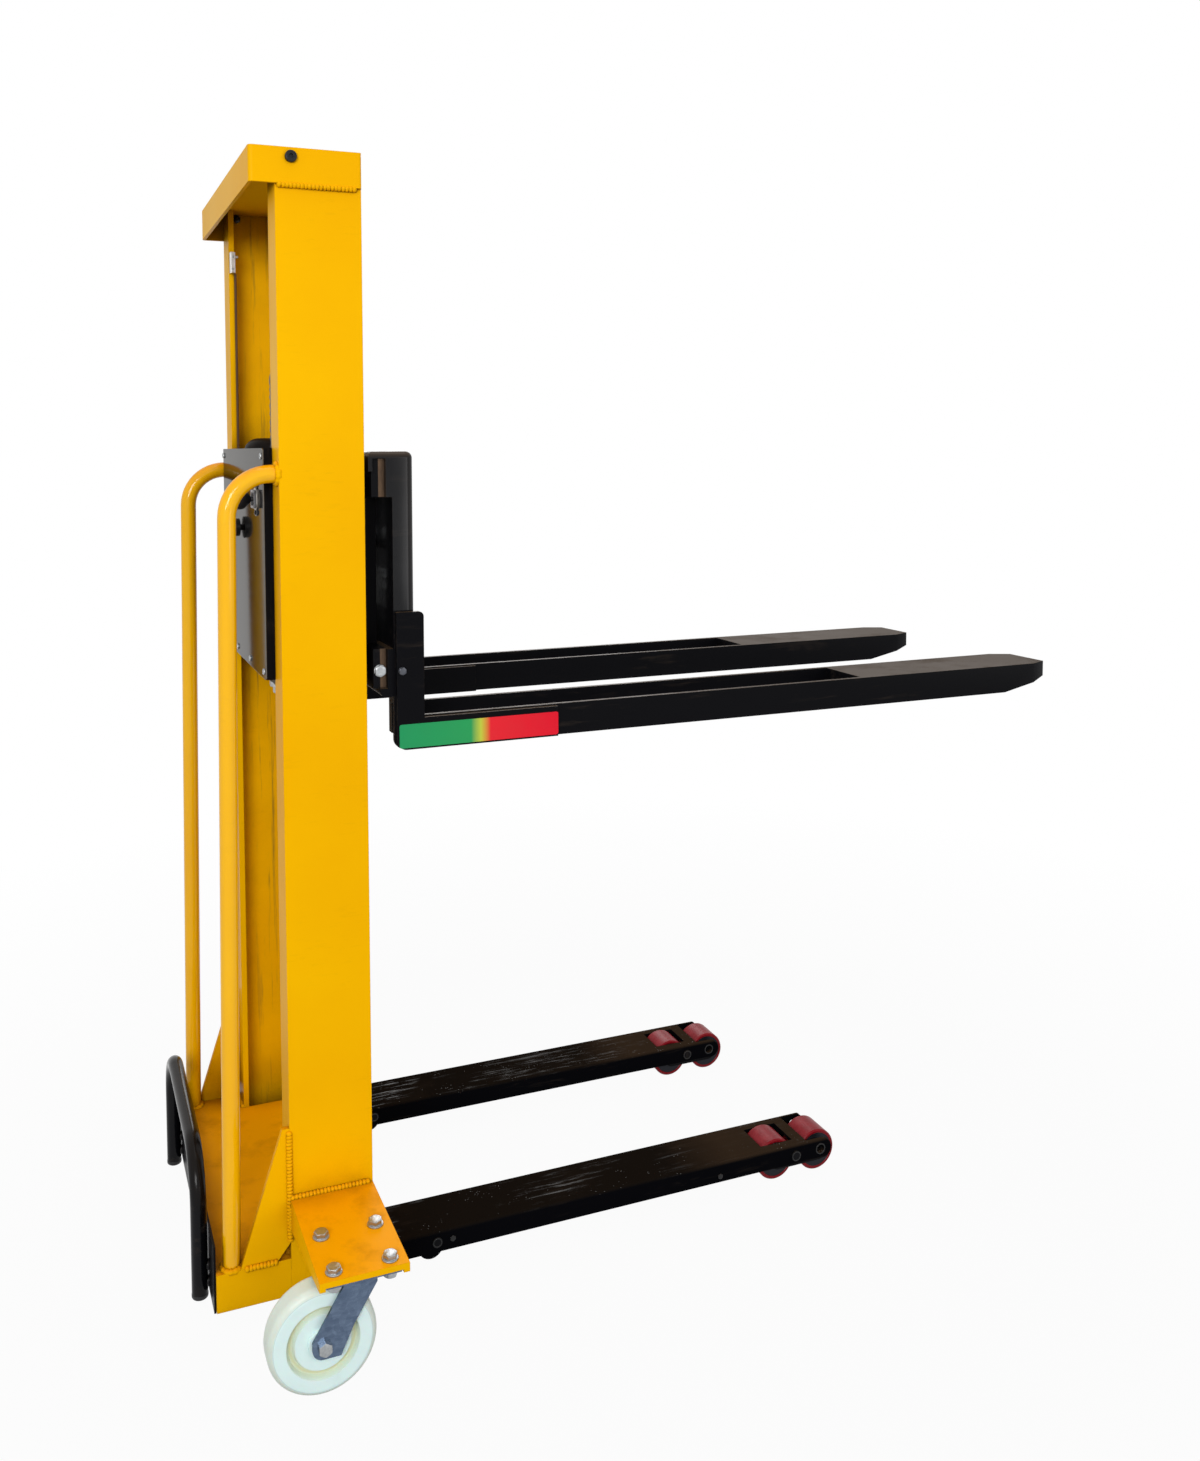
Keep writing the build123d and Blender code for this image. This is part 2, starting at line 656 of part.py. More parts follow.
def yoke_flange():
    # the plate in front of the fold turns in towards the kingpin
    outer = -CASTER_Y - YOKE_OUTER
    turn = math.radians(YOKE_FOLD_ANGLE)
    along = (math.cos(turn), math.sin(turn), 0)
    outwards = (math.sin(turn), -math.cos(turn), 0)
    plane = Plane(origin=(YOKE_FOLD_X, outer, 0), x_dir=along, z_dir=outwards)
    face = outline(
        (0, CROWN_TOP),
        (0, CASTER_AXLE_Z + YOKE_FOLD_RISE),
        (YOKE_FLANGE, CROWN_TOP - YOKE_FLANGE_DROP),
        (YOKE_FLANGE, CROWN_TOP),
    )
    return extrude(plane * face, -YOKE_SHEET)


def caster_yoke():
    outer = -CASTER_Y - YOKE_OUTER
    cheek = slab_xz(yoke_side(), outer, outer + YOKE_SHEET) + yoke_flange()
    yoke = rod_z(CASTER_X, -CASTER_Y, CROWN_BOTTOM, CROWN_TOP, YOKE_CROWN_DIA / 2)
    yoke += cheek
    yoke += mirror(cheek, about=Plane.XZ.offset(CASTER_Y))
    bottom, top = CROWN_BOTTOM - OVERCUT, CROWN_TOP + OVERCUT
    yoke -= rod_z(CASTER_X, -CASTER_Y, bottom, top, KINGPIN_DIA / 2 + RUNNING_FIT)
    reach = YOKE_OUTER + OVERCUT
    axle_hole = CASTER_AXLE_DIA / 2 + HOLE_SLACK
    return yoke - rod_y(CASTER_AXLE_X, -CASTER_Y - reach, -CASTER_Y + reach, CASTER_AXLE_Z, axle_hole)


def caster_axle():
    x, z = CASTER_AXLE_X, CASTER_AXLE_Z
    across = CASTER_AXLE_DIA * HEX_PER_DIA
    outer = -CASTER_Y - YOKE_OUTER
    inner = -CASTER_Y + YOKE_OUTER
    shank = rod_y(x, outer, inner + NUT_HEIGHT + BOLT_END, z, CASTER_AXLE_DIA / 2)
    head = hex_y(x, outer - BOLT_HEAD, outer, z, across)
    nut = hex_y(x, inner, inner + NUT_HEIGHT, z, across)
    return shank + head + nut


def left_caster(shape):
    # the left caster stands turned about its kingpin, out of sight behind the mast
    kingpin = Pos(CASTER_X, CASTER_Y, 0)
    return kingpin * Rot(0, 0, LEFT_CASTER_TURN) * Pos(-CASTER_X, -CASTER_Y, 0) * flip(shape)


def caster_wheel():
    # hub, flush disc, moulded groove and rim with rounded edges
    bore = CASTER_AXLE_DIA / 2 + RUNNING_FIT
    hub, hub_half = CASTER_HUB_DIA / 2, CASTER_HUB_WIDTH / 2
    tread, half, disc = CASTER_WHEEL_DIA / 2, CASTER_WHEEL_WIDTH / 2, CASTER_DISC_WIDTH / 2
    inner, outer = CASTER_GROOVE_INNER_DIA / 2, CASTER_GROOVE_OUTER_DIA / 2
    floor = disc - CASTER_GROOVE_DEPTH
    near = [(bore, hub_half), (hub, hub_half), (hub, disc), (inner, disc)]
    near += [(inner + CASTER_GROOVE_SLOPE, floor), (outer - CASTER_GROOVE_SLOPE, floor)]
    near += [(outer, half), (tread, half)]
    section = outline(*near, *[(r, -y) for r, y in reversed(near)])
    section = rounded(section, CASTER_EDGE_RADIUS, lambda v: v.X > tread - 0.01)
    return Pos(CASTER_AXLE_X, -CASTER_Y, CASTER_AXLE_Z) * revolve(section, Axis.Y)


# Legs and load rollers

def leg():
    y = -LEG_Y
    half = LEG_WIDTH / 2
    near, far = y - half - OVERCUT, y + half + OVERCUT
    side = outline(
        (LEG_REAR, LEG_BOTTOM), (FRONT_ROLLER_X, LEG_BOTTOM), (FRONT_ROLLER_X, LEG_TOP), (LEG_REAR, LEG_TOP),
    )
    side += Pos(FRONT_ROLLER_X, EAR_Z) * Circle(EAR_RADIUS)
    side += Pos(SLIDE_LUG_X, SLIDE_LUG_Z) * Circle(SLIDE_LUG_RADIUS)
    end = FRONT_ROLLER_X + EAR_RADIUS + OVERCUT
    section = outline((y - half, 0), (y + half, 0), (y + half, LEG_TOP), (y - half, LEG_TOP))
    section = rounded(section, LEG_EDGE_RADIUS, lambda v: v.Y > LEG_TOP - 1)
    box = slab_xz(side, y - half, y + half) & slab_yz(section, LEG_REAR, end)
    ceiling = LEG_TOP - LEG_WALL
    box -= block(LEG_REAR + LEG_WALL, end, y - LEG_INNER, y + LEG_INNER, 0, ceiling)
    mouth = FRONT_ROLLER_X - ROLLER_OPENING
    box -= block(mouth, end, y - LEG_INNER, y + LEG_INNER, ceiling - OVERCUT, LEG_TOP + OVERCUT)
    window = BOGIE_INNER
    box -= block(
        REAR_ROLLER_X - ROLLER_OPENING, REAR_ROLLER_X + ROLLER_OPENING,
        y - window, y + window, ceiling - OVERCUT, LEG_TOP + OVERCUT,
    )
    box -= rod_y(FRONT_ROLLER_X - EAR_HOLE_BACK, near, far, EAR_Z, EAR_HOLE_DIA / 2)
    box -= rod_y(BOGIE_PIVOT_X, near, far, BOGIE_PIVOT_Z, BOGIE_PIN_DIA / 2 + HOLE_SLACK)
    return box - rod_y(SLIDE_PIN_X, near, far, SLIDE_PIN_Z, SLIDE_PIN_DIA / 2 + HOLE_SLACK)


def leg_stub(side):
    # pivot stub of a bogie, from outside one leg cheek to the inside of the bogie plate
    half = LEG_WIDTH / 2
    ends = sorted((-LEG_Y + side * BOGIE_INNER, -LEG_Y + side * (half + PIN_HEAD)))
    stub = rod_y(BOGIE_PIVOT_X, ends[0], ends[1], BOGIE_PIVOT_Z, BOGIE_PIN_DIA / 2)
    head = sorted((-LEG_Y + side * half, -LEG_Y + side * (half + PIN_HEAD)))
    return stub + rod_y(BOGIE_PIVOT_X, head[0], head[1], BOGIE_PIVOT_Z, BOGIE_PIN_DIA / 2 + PIN_RIM)


def slide_pin():
    half = LEG_WIDTH / 2 + PIN_HEAD
    pin = rod_y(SLIDE_PIN_X, -LEG_Y - half, -LEG_Y + half, SLIDE_PIN_Z, SLIDE_PIN_DIA / 2)
    for side in (-1, 1):
        ends = sorted((-LEG_Y + side * LEG_WIDTH / 2, -LEG_Y + side * half))
        pin += rod_y(SLIDE_PIN_X, ends[0], ends[1], SLIDE_PIN_Z, SLIDE_PIN_DIA / 2 + PIN_RIM)
    return pin


def bogie():
    y = -LEG_Y
    ends = [Pos(x, ROLLER_Z) * Circle(BOGIE_RADIUS) for x in (REAR_ROLLER_X, FRONT_ROLLER_X)]
    middle = Pos(BOGIE_PIVOT_X, BOGIE_PIVOT_Z) * Circle(BOGIE_PIVOT_RADIUS)
    side = make_hull(ends[0].edges() + ends[1].edges() + middle.edges())
    cheek = slab_xz(side, y - BOGIE_OUTER, y - BOGIE_INNER)
    cheek += slab_xz(side, y + BOGIE_INNER, y + BOGIE_OUTER)
    across = BOGIE_OUTER + OVERCUT
    bore = BOGIE_PIN_DIA / 2 + RUNNING_FIT
    cheek -= rod_y(BOGIE_PIVOT_X, y - across, y + across, BOGIE_PIVOT_Z, bore)
    frame = cheek
    axle = BOGIE_OUTER + ROLLER_AXLE_END
    for x in (REAR_ROLLER_X, FRONT_ROLLER_X):
        frame += rod_y(x, y - axle, y + axle, ROLLER_Z, ROLLER_AXLE_DIA / 2)
    return frame


def load_roller(x):
    bore = ROLLER_AXLE_DIA / 2 + RUNNING_FIT
    hub, tyre = ROLLER_HUB_DIA / 2, ROLLER_DIA / 2
    half = ROLLER_WIDTH / 2
    boss = half + ROLLER_HUB_PROUD
    dish = half - ROLLER_DISH
    near = [(bore, boss), (bore + ROLLER_BOSS, boss), (bore + ROLLER_BOSS + ROLLER_DISH, dish), (hub, dish)]
    core = turned(near + [(r, -y) for r, y in reversed(near)], x, -LEG_Y, ROLLER_Z)
    tread = [(hub, dish), (hub + ROLLER_DISH, half), (tyre - ROLLER_EDGE, half), (tyre, half - ROLLER_EDGE)]
    ring = turned(tread + [(r, -y) for r, y in reversed(tread)], x, -LEG_Y, ROLLER_Z)
    return core, ring


# Forks

def fork():
    y = -FORK_Y
    half = FORK_WIDTH / 2
    nose = FORK_TIP - FORK_NOSE_LENGTH
    side = outline(
        (SHANK_REAR, FORK_BOTTOM),
        (nose, FORK_BOTTOM),
        (FORK_TIP, FORK_TOP - FORK_NOSE_THICK),
        (FORK_TIP, FORK_TOP),
        (SHANK_REAR, FORK_TOP),
    )
    side = rounded(side, HEEL_RADIUS, lambda v: v.X < SHANK_REAR + 1 and v.Y < FORK_BOTTOM + 1)
    corner = FORK_TIP - FORK_CORNER_LENGTH
    tip = half - FORK_CORNER_WIDTH
    low, high = FORK_BOTTOM - OVERCUT, FORK_TOP + OVERCUT
    plan = outline(
        (SHANK_REAR, y - half), (corner, y - half), (FORK_TIP, y - tip),
        (FORK_TIP, y + tip), (corner, y + half), (SHANK_REAR, y + half),
    )
    blade = slab_xz(side, y - half, y + half) & slab_xy(plan, low, high)
    inner = FORK_INNER / 2
    blade -= block(SHANK_REAR - OVERCUT, FORK_SLOT_END, y - inner, y + inner, low, high)
    pocket_top = FORK_TOP - FORK_TOP_PLATE
    blade -= block(
        FORK_SLOT_END + FORK_BAR, corner - FORK_BAR, y - inner, y + inner, low, pocket_top,
    )
    return blade + fork_shank() + fork_doubler(y - half - DOUBLER_THICK) + fork_doubler(y + half)


def fork_shank():
    # upright of the fork, with the hook over the upper bar and the clip under the lower bar
    y = -FORK_Y
    half = FORK_WIDTH / 2
    lip = BAR_REAR - HOOK_LIP
    clip = BAR_FRONT - CLIP_REACH
    clip_bottom = LOWER_BAR_BOTTOM - CLIP_DROP
    side = outline(
        (SHANK_REAR, FORK_TOP), (SHANK_FRONT, FORK_TOP), (SHANK_FRONT, SHANK_TOP), (lip, SHANK_TOP),
        (lip, UPPER_BAR_TOP - HOOK_LIP_DROP), (BAR_REAR, UPPER_BAR_TOP - HOOK_LIP_DROP),
        (BAR_REAR, UPPER_BAR_TOP), (BAR_FRONT, UPPER_BAR_TOP), (BAR_FRONT, UPPER_BAR_BOTTOM),
        (SHANK_REAR, UPPER_BAR_BOTTOM), (SHANK_REAR, LOWER_BAR_TOP), (BAR_FRONT, LOWER_BAR_TOP),
        (BAR_FRONT, LOWER_BAR_BOTTOM), (clip, LOWER_BAR_BOTTOM), (clip, clip_bottom),
        (SHANK_REAR, clip_bottom),
    )
    side = rounded(side, CLIP_RADIUS, lambda v: abs(v.X - clip) + abs(v.Y - clip_bottom) < 0.01)
    post = slab_xz(side, y - half, y + half)
    post = fillet(post.edges().filter_by(Axis.Z).group_by(Axis.X)[-1], SHANK_FRONT_RADIUS)
    return fillet(post.faces().sort_by(Axis.Z)[-1].edges(), min(SHANK_TOP_RADIUS, HOOK_THICK * 0.95))


def fork_doubler(y0):
    rear = SHANK_REAR + DOUBLER_INSET
    top = FORK_TOP - DOUBLER_DROP
    face = outline(
        (rear, FORK_BOTTOM),
        (DOUBLER_END, FORK_BOTTOM),
        (DOUBLER_END, top),
        (DOUBLER_FRONT, top),
        (DOUBLER_FRONT, DOUBLER_TOP),
        (rear, DOUBLER_TOP),
    )
    face = rounded(face, HEEL_RADIUS, lambda v: v.X < DOUBLER_FRONT - 1 and v.Y < FORK_BOTTOM + 1)
    face = rounded(face, HEEL_RADIUS / 2, lambda v: abs(v.X - DOUBLER_FRONT) < 1 and v.Y > DOUBLER_TOP - 1)
    return slab_xz(face, y0, y0 + DOUBLER_THICK)


# Carriage

def carriage_upper_bar():
    half = BAR_WIDTH / 2
    return block(BAR_REAR, BAR_FRONT, -half, half, UPPER_BAR_BOTTOM, UPPER_BAR_TOP)


def carriage_lower_bar():
    half = BAR_WIDTH / 2
    return block(BAR_REAR, BAR_FRONT, -half, half, LOWER_BAR_BOTTOM, LOWER_BAR_TOP)


def carriage_bolts():
    bar_face = -BAR_WIDTH / 2
    plate_face = -FORK_Y - FORK_WIDTH / 2 - DOUBLER_THICK
    across = CARRIAGE_BOLT_DIA * HEX_PER_DIA
    bar_x = (BAR_REAR + BAR_FRONT) / 2
    plate_x = SHANK_REAR + CARRIAGE_BOLT_DIA
    heads = []
    for x, face in ((bar_x, bar_face), (plate_x, plate_face)):
        heads.append(hex_y(x, face - CARRIAGE_BOLT_HEAD, face, CARRIAGE_BOLT_Z, across))
    return heads + [flip(h) for h in heads]


def carriage_frame():
    low, high = LOWER_BAR_BOTTOM, UPPER_BAR_TOP - HOOK_LIP_DROP - HOOK_LIP / 2
    lower_lobe = MAST_ROLLER_HEIGHTS[0] + STUB_DIA * 1.5
    upper_lobe = MAST_ROLLER_HEIGHTS[1] - STUB_DIA * 1.5
    step = STUB_DIA / 2
    side = outline(
        (BAR_REAR, low), (BAR_REAR, LOWER_BAR_TOP), (BAR_FRONT, LOWER_BAR_TOP),
        (BAR_FRONT, UPPER_BAR_BOTTOM), (BAR_REAR, UPPER_BAR_BOTTOM), (BAR_REAR, high),
        (SIDE_PLATE_REAR, high), (SIDE_PLATE_REAR, upper_lobe),
        (SIDE_PLATE_NECK, upper_lobe - step), (SIDE_PLATE_NECK, lower_lobe + step),
        (SIDE_PLATE_REAR, lower_lobe), (SIDE_PLATE_REAR, low),
    )
    side = rounded(side, STUB_DIA / 3, lambda v: v.X < BAR_REAR - 1)
    plate = slab_xz(side, -SIDE_PLATE_OUT, -SIDE_PLATE_IN)
    outer = -SIDE_PLATE_OUT - STUB_SHOULDER - MAST_ROLLER_WIDTH - STUB_SHOULDER
    shoulder = -SIDE_PLATE_OUT - STUB_SHOULDER + SEAT_GAP
    for z in MAST_ROLLER_HEIGHTS:
        plate += rod_y(CHANNEL_MID_X, outer, -SIDE_PLATE_OUT, z, STUB_DIA / 2)
        plate += rod_y(CHANNEL_MID_X, shoulder, -SIDE_PLATE_OUT, z, STUB_DIA * 0.6)
    rear = BAR_REAR - ANCHOR_BAR_THICK
    bar = block(rear, BAR_REAR, -SIDE_PLATE_IN, SIDE_PLATE_IN, ANCHOR_BAR_BOTTOM, ANCHOR_BAR_TOP)
    for y in (-CHAIN_Y, CHAIN_Y):
        bar += rod_z(CHAIN_FRONT_X, y, ANCHOR_BAR_BOTTOM, ANCHOR_STUD_TOP, ANCHOR_STUD_DIA / 2)
    return plate + flip(plate) + bar


def mast_roller(z):
    bore, outer = STUB_DIA / 2 + RUNNING_FIT, MAST_ROLLER_DIA / 2
    half, edge, depth = MAST_ROLLER_WIDTH / 2, MAST_ROLLER_EDGE, MAST_ROLLER_GROOVE_DEPTH
    middle = (bore + outer) / 2
    inner, far = middle - MAST_ROLLER_GROOVE / 2, middle + MAST_ROLLER_GROOVE / 2
    near = [(bore, half), (inner, half), (inner + depth, half - depth), (far - depth, half - depth)]
    near += [(far, half), (outer - edge, half), (outer, half - edge)]
    y = -SIDE_PLATE_OUT - STUB_SHOULDER - half
    return turned(near + [(r, -y0) for r, y0 in reversed(near)], CHANNEL_MID_X, y, z)


# Hydraulic lift

def lift_cylinder():
    barrel = rod_z(CYLINDER_X, 0, DECK_TOP, BARREL_TOP, BARREL_DIA / 2)
    barrel -= rod_z(CYLINDER_X, 0, DECK_TOP + BARREL_FOOT, BARREL_TOP + OVERCUT, BARREL_BORE / 2)
    half = CHAIN_BRACKET_WIDTH / 2
    ear = block(
        CHAIN_REAR_X - CHAIN_HEIGHT, CYLINDER_X + CHAIN_BRACKET_FRONT, -half, half,
        CHAIN_BRACKET_Z, CHAIN_BRACKET_TOP,
    )
    ear = fillet(ear.edges().filter_by(Axis.Z), CHAIN_HEIGHT)
    low, high = CHAIN_BRACKET_Z - OVERCUT, CHAIN_BRACKET_TOP + OVERCUT
    ear -= rod_z(CYLINDER_X, 0, low, high, BARREL_BORE / 2 + OVERCUT)
    return barrel + ear


def cylinder_gland():
    top = BARREL_TOP + GLAND_HEIGHT
    gland = rod_z(CYLINDER_X, 0, BARREL_TOP, top, GLAND_DIA / 2)
    gland = chamfer(gland.edges().group_by(Axis.Z)[-1], GLAND_CHAMFER)
    return gland - rod_z(CYLINDER_X, 0, BARREL_TOP - OVERCUT, top + OVERCUT, RAM_DIA / 2 + RUNNING_FIT)


def lift_ram():
    ram = rod_z(CYLINDER_X, 0, RAM_BOTTOM, RAM_TOP, RAM_DIA / 2)
    return ram + rod_z(CYLINDER_X, 0, RAM_BOTTOM, RAM_BOTTOM + PISTON_HEIGHT, BARREL_BORE / 2 - RUNNING_FIT)


def crosshead():
    inner = CHAIN_Y - SHEAVE_WIDTH / 2 - 1
    outer = CHAIN_Y + SHEAVE_WIDTH / 2 + CROSSHEAD_PIN_END
    half = CROSSHEAD_WIDTH / 2
    head = block(CYLINDER_X - half, CYLINDER_X + half, -inner, inner, RAM_TOP, SHEAVE_Z + CROSSHEAD_ABOVE)
    head = fillet(head.edges().filter_by(Axis.Y).group_by(Axis.Z)[-1], half - 2)
    return head + rod_y(CYLINDER_X, -outer, outer, SHEAVE_Z, SHEAVE_AXLE_DIA / 2)


def chain_sheave(y):
    bore = SHEAVE_AXLE_DIA / 2 + RUNNING_FIT
    seat = SHEAVE_PITCH_RADIUS - CHAIN_HEIGHT / 2 - SEAT_GAP
    rim = SHEAVE_PITCH_RADIUS + SHEAVE_FLANGE
    half = SHEAVE_WIDTH / 2
    floor = CHAIN_WIDTH / 2 + SEAT_GAP
    near = [(bore, half), (rim - 1, half), (rim, half - 1), (rim, floor + 1), (seat, floor)]
    return turned(near + [(r, -y0) for r, y0 in reversed(near)], CYLINDER_X, y, SHEAVE_Z)


def chain_run(x, y, bottom, top):
    half = CHAIN_HEIGHT / 2
    return block(x - half, x + half, y - CHAIN_WIDTH / 2, y + CHAIN_WIDTH / 2, bottom, top)


def front_chain(y):
    half = CHAIN_HEIGHT / 2
    inner, outer = SHEAVE_PITCH_RADIUS - half, SHEAVE_PITCH_RADIUS + half
    band = Pos(CYLINDER_X, SHEAVE_Z) * (Circle(outer) - Circle(inner))
    ring = slab_xz(band, y - CHAIN_WIDTH / 2, y + CHAIN_WIDTH / 2)
    reach = 2 * outer
    ring -= block(CYLINDER_X - reach, CYLINDER_X + reach, y - reach, y + reach, SHEAVE_Z - reach, SHEAVE_Z)
    return ring + chain_run(CHAIN_FRONT_X, y, ANCHOR_STUD_TOP, SHEAVE_Z)


def hydraulic_pipe():
    points = (
        (CYLINDER_X, PIPE_Y, TANK_TOP),
        (CYLINDER_X, PIPE_Y, PIPE_PORT_Z),
        (CYLINDER_X, BARREL_DIA / 2 + RUNNING_FIT, PIPE_PORT_Z),
    )
    return pipe(points, PIPE_BEND, PIPE_DIA)


# Power unit, battery and controls

def unit_frame():
    low = PANEL_BOTTOM
    lower = block(-CHANNEL_DEPTH, RAIL_FRONT, -FLANGE_TIP_Y, FLANGE_TIP_Y, low, low + RAIL_HEIGHT)
    shelf = block(RAIL_FRONT, SHELF_FRONT, -SHELF_OUTER, -SHELF_INNER, SHELF_TOP - SHELF_THICK, SHELF_TOP)
    lower += shelf + flip(shelf)
    lower -= rod_z(CYLINDER_X, PIPE_Y, PANEL_BOTTOM, SHELF_TOP + OVERCUT, PIPE_DIA / 2 + 2)
    top = PANEL_TOP - RAIL_HEIGHT / 2
    upper = block(-CHANNEL_DEPTH, RAIL_FRONT, -FLANGE_TIP_Y, FLANGE_TIP_Y, top - RAIL_HEIGHT, top)
    return lower, upper


def panel_tray():
    half = PANEL_WIDTH / 2
    tray = block(TRAY_REAR, -CHANNEL_DEPTH, -half, half, PANEL_BOTTOM, PANEL_TOP)
    tray -= block(
        TRAY_REAR - OVERCUT, -CHANNEL_DEPTH - TRAY_WALL, -half + TRAY_WALL, half - TRAY_WALL,
        PANEL_BOTTOM + TRAY_WALL, PANEL_TOP - TRAY_WALL,
    )
    ear_in = LEVER_SHAFT_DIA / 2 + LEVER_EAR_GAP
    ear_out = ear_in + LEVER_EAR_THICK
    for y0, y1 in ((LEVER_Y - ear_out, LEVER_Y - ear_in), (LEVER_Y + ear_in, LEVER_Y + ear_out)):
        low, high = LEVER_Z - LEVER_EAR_HEIGHT / 2, LEVER_Z + LEVER_EAR_HEIGHT / 2
        tray += block(TRAY_REAR + 1, -CHANNEL_DEPTH - TRAY_WALL, y0, y1, low, high)
    return tray - rod_y(
        LEVER_PIVOT_X, LEVER_Y - ear_out - OVERCUT, LEVER_Y + ear_out + OVERCUT, LEVER_Z,
        LEVER_TRUNNION_DIA / 2 + RUNNING_FIT,
    )


def control_panel():
    half = PANEL_WIDTH / 2
    sheet = block(PANEL_REAR, TRAY_REAR, -half, half, PANEL_BOTTOM, PANEL_TOP)
    sheet = fillet(sheet.edges().filter_by(Axis.X), PANEL_CORNER)
    sheet -= rod_x(PANEL_REAR - OVERCUT, TRAY_REAR + OVERCUT, LEVER_Y, LEVER_Z, LEVER_HOLE_DIA / 2)
    return sheet - rod_x(PANEL_REAR - OVERCUT, TRAY_REAR + OVERCUT, KNOB_Y, KNOB_Z, KNOB_STEM_DIA / 2 + 1)


def panel_screws():
    # a row along the bottom edge and one in each top corner
    places = [(y, PANEL_BOTTOM + PANEL_SCREW_EDGE) for y in PANEL_SCREW_SPREAD]
    places += [(y, PANEL_TOP - PANEL_SCREW_EDGE) for y in (PANEL_SCREW_SPREAD[0], PANEL_SCREW_SPREAD[-1])]
    heads = []
    for y, z in places:
        head = rod_x(PANEL_REAR - PANEL_SCREW_HEAD, PANEL_REAR, y, z, PANEL_SCREW_DIA / 2)
        heads.append(fillet(head.edges().group_by(Axis.X)[0], PANEL_SCREW_HEAD * 0.6))
    return heads


def lever_collar():
    face = PANEL_REAR - LEVER_COLLAR_THICK
    ring = rod_x(face, PANEL_REAR, LEVER_Y, LEVER_Z, LEVER_COLLAR_DIA / 2)
    ring = chamfer(ring.edges().group_by(Axis.X)[0], 1)
    return ring - rod_x(face - OVERCUT, PANEL_REAR + OVERCUT, LEVER_Y, LEVER_Z, LEVER_HOLE_DIA / 2)


def knob_collar():
    face = PANEL_REAR - KNOB_COLLAR_THICK
    ring = rod_x(face, PANEL_REAR, KNOB_Y, KNOB_Z, KNOB_COLLAR_DIA / 2)
    ring = chamfer(ring.edges().group_by(Axis.X)[0], 1)
    return ring - rod_x(face - OVERCUT, PANEL_REAR + OVERCUT, KNOB_Y, KNOB_Z, KNOB_STEM_DIA / 2 + RUNNING_FIT)


def control_lever():
    radius = LEVER_SHAFT_DIA / 2
    trunnion = radius + LEVER_EAR_GAP + LEVER_EAR_THICK
    pivot = rod_y(LEVER_PIVOT_X, LEVER_Y - trunnion, LEVER_Y + trunnion, LEVER_Z, LEVER_TRUNNION_DIA / 2)
    tip = LEVER_PIVOT_X - LEVER_SHAFT_LENGTH
    shaft = rod_x(tip, LEVER_PIVOT_X, LEVER_Y, LEVER_Z, radius)
    hub = rod_y(LEVER_PIVOT_X, LEVER_Y - radius, LEVER_Y + radius, LEVER_Z, radius)
    small, large = LEVER_GRIP_SMALL_DIA / 2, LEVER_GRIP_LARGE_DIA / 2
    end = tip - LEVER_GRIP_LENGTH
    profile = outline((tip, 0), (tip, small), (end, large), (end, 0))
    profile = rounded(profile, large * 0.6, lambda v: v.X < end + 0.01 and v.Y > 1)
    grip = Pos(0, LEVER_Y, LEVER_Z) * revolve(profile, Axis.X)
    return pivot + shaft + hub, grip


def push_knob():
    inner = -CHANNEL_DEPTH - TRAY_WALL - KNOB_TRAVEL - 1
    seat = PANEL_REAR - KNOB_COLLAR_THICK - KNOB_TRAVEL - 1
    stem = rod_x(seat, inner, KNOB_Y, KNOB_Z, KNOB_STEM_DIA / 2)
    head = rod_x(seat - KNOB_THICK, seat, KNOB_Y, KNOB_Z, KNOB_DIA / 2)
    head = fillet(head.edges().group_by(Axis.X)[0], KNOB_THICK * 0.55)
    return stem + head


def battery():
    half = UNIT_SIZE / 2
    top = SHELF_TOP + BATTERY_HEIGHT
    case = block(UNIT_X - half, UNIT_X + half, -UNIT_Y - half, -UNIT_Y + half, SHELF_TOP, top)
    case = fillet(case.edges().filter_by(Axis.Z), BATTERY_CORNER)
    inner = half - BATTERY_LID_INSET
    lid_top = top + BATTERY_LID
    lid = block(UNIT_X - inner, UNIT_X + inner, -UNIT_Y - inner, -UNIT_Y + inner, top, lid_top)
    for dy in (-half / 2, half / 2):
        post_top = lid_top + BATTERY_TERMINAL
        lid += rod_z(UNIT_X - half / 2, -UNIT_Y + dy, top, post_top, BATTERY_TERMINAL_DIA / 2)
    return case + lid


def pump_unit():
    half = UNIT_SIZE / 2
    tank = block(
        UNIT_X - half, UNIT_X + half, UNIT_Y - half + TANK_INSET, UNIT_Y + half, SHELF_TOP, TANK_TOP,
    )
    tank = fillet(tank.edges().filter_by(Axis.Z), TANK_CORNER)
    body = block(UNIT_X - half, UNIT_X + half, UNIT_Y - half, UNIT_Y + half, TANK_TOP, PUMP_BLOCK_TOP)
    body = chamfer(body.edges().filter_by(Axis.Z), PUMP_BLOCK_CHAMFER)
    return tank + body


def pump_motor():
    motor = rod_z(UNIT_X, UNIT_Y, PUMP_BLOCK_TOP, MOTOR_TOP, UNIT_SIZE / 2)
    return fillet(motor.edges().group_by(Axis.Z)[-1], MOTOR_DOME)


def limit_switch():
    rear = -CHANNEL_DEPTH + 1
    front = rear + SWITCH_DEPTH
    inner = FLANGE_TIP_Y - SWITCH_WIDTH
    body = block(rear, front, inner, FLANGE_TIP_Y, SWITCH_TOP - SWITCH_HEIGHT, SWITCH_TOP)
    body = chamfer(body.edges().filter_by(Axis.Z), 1)
    y, z = inner + SWITCH_WIDTH / 2, SWITCH_TOP - SWITCH_WIDTH / 2
    button = rod_x(front, front + SWITCH_BUTTON, y, z, SWITCH_BUTTON_DIA / 2)
    return body + button


def switch_cable():
    x = -CHANNEL_DEPTH + CABLE_BEND + 2
    y = FLANGE_TIP_Y - CABLE_DIA / 2 - SEAT_GAP
    entry = PANEL_TOP - PANEL_SCREW_EDGE / 2
    points = ((x, y, SWITCH_TOP - SWITCH_HEIGHT), (x, y, entry), (-CHANNEL_DEPTH, y, entry))
    return pipe(points, CABLE_BEND, CABLE_DIA)


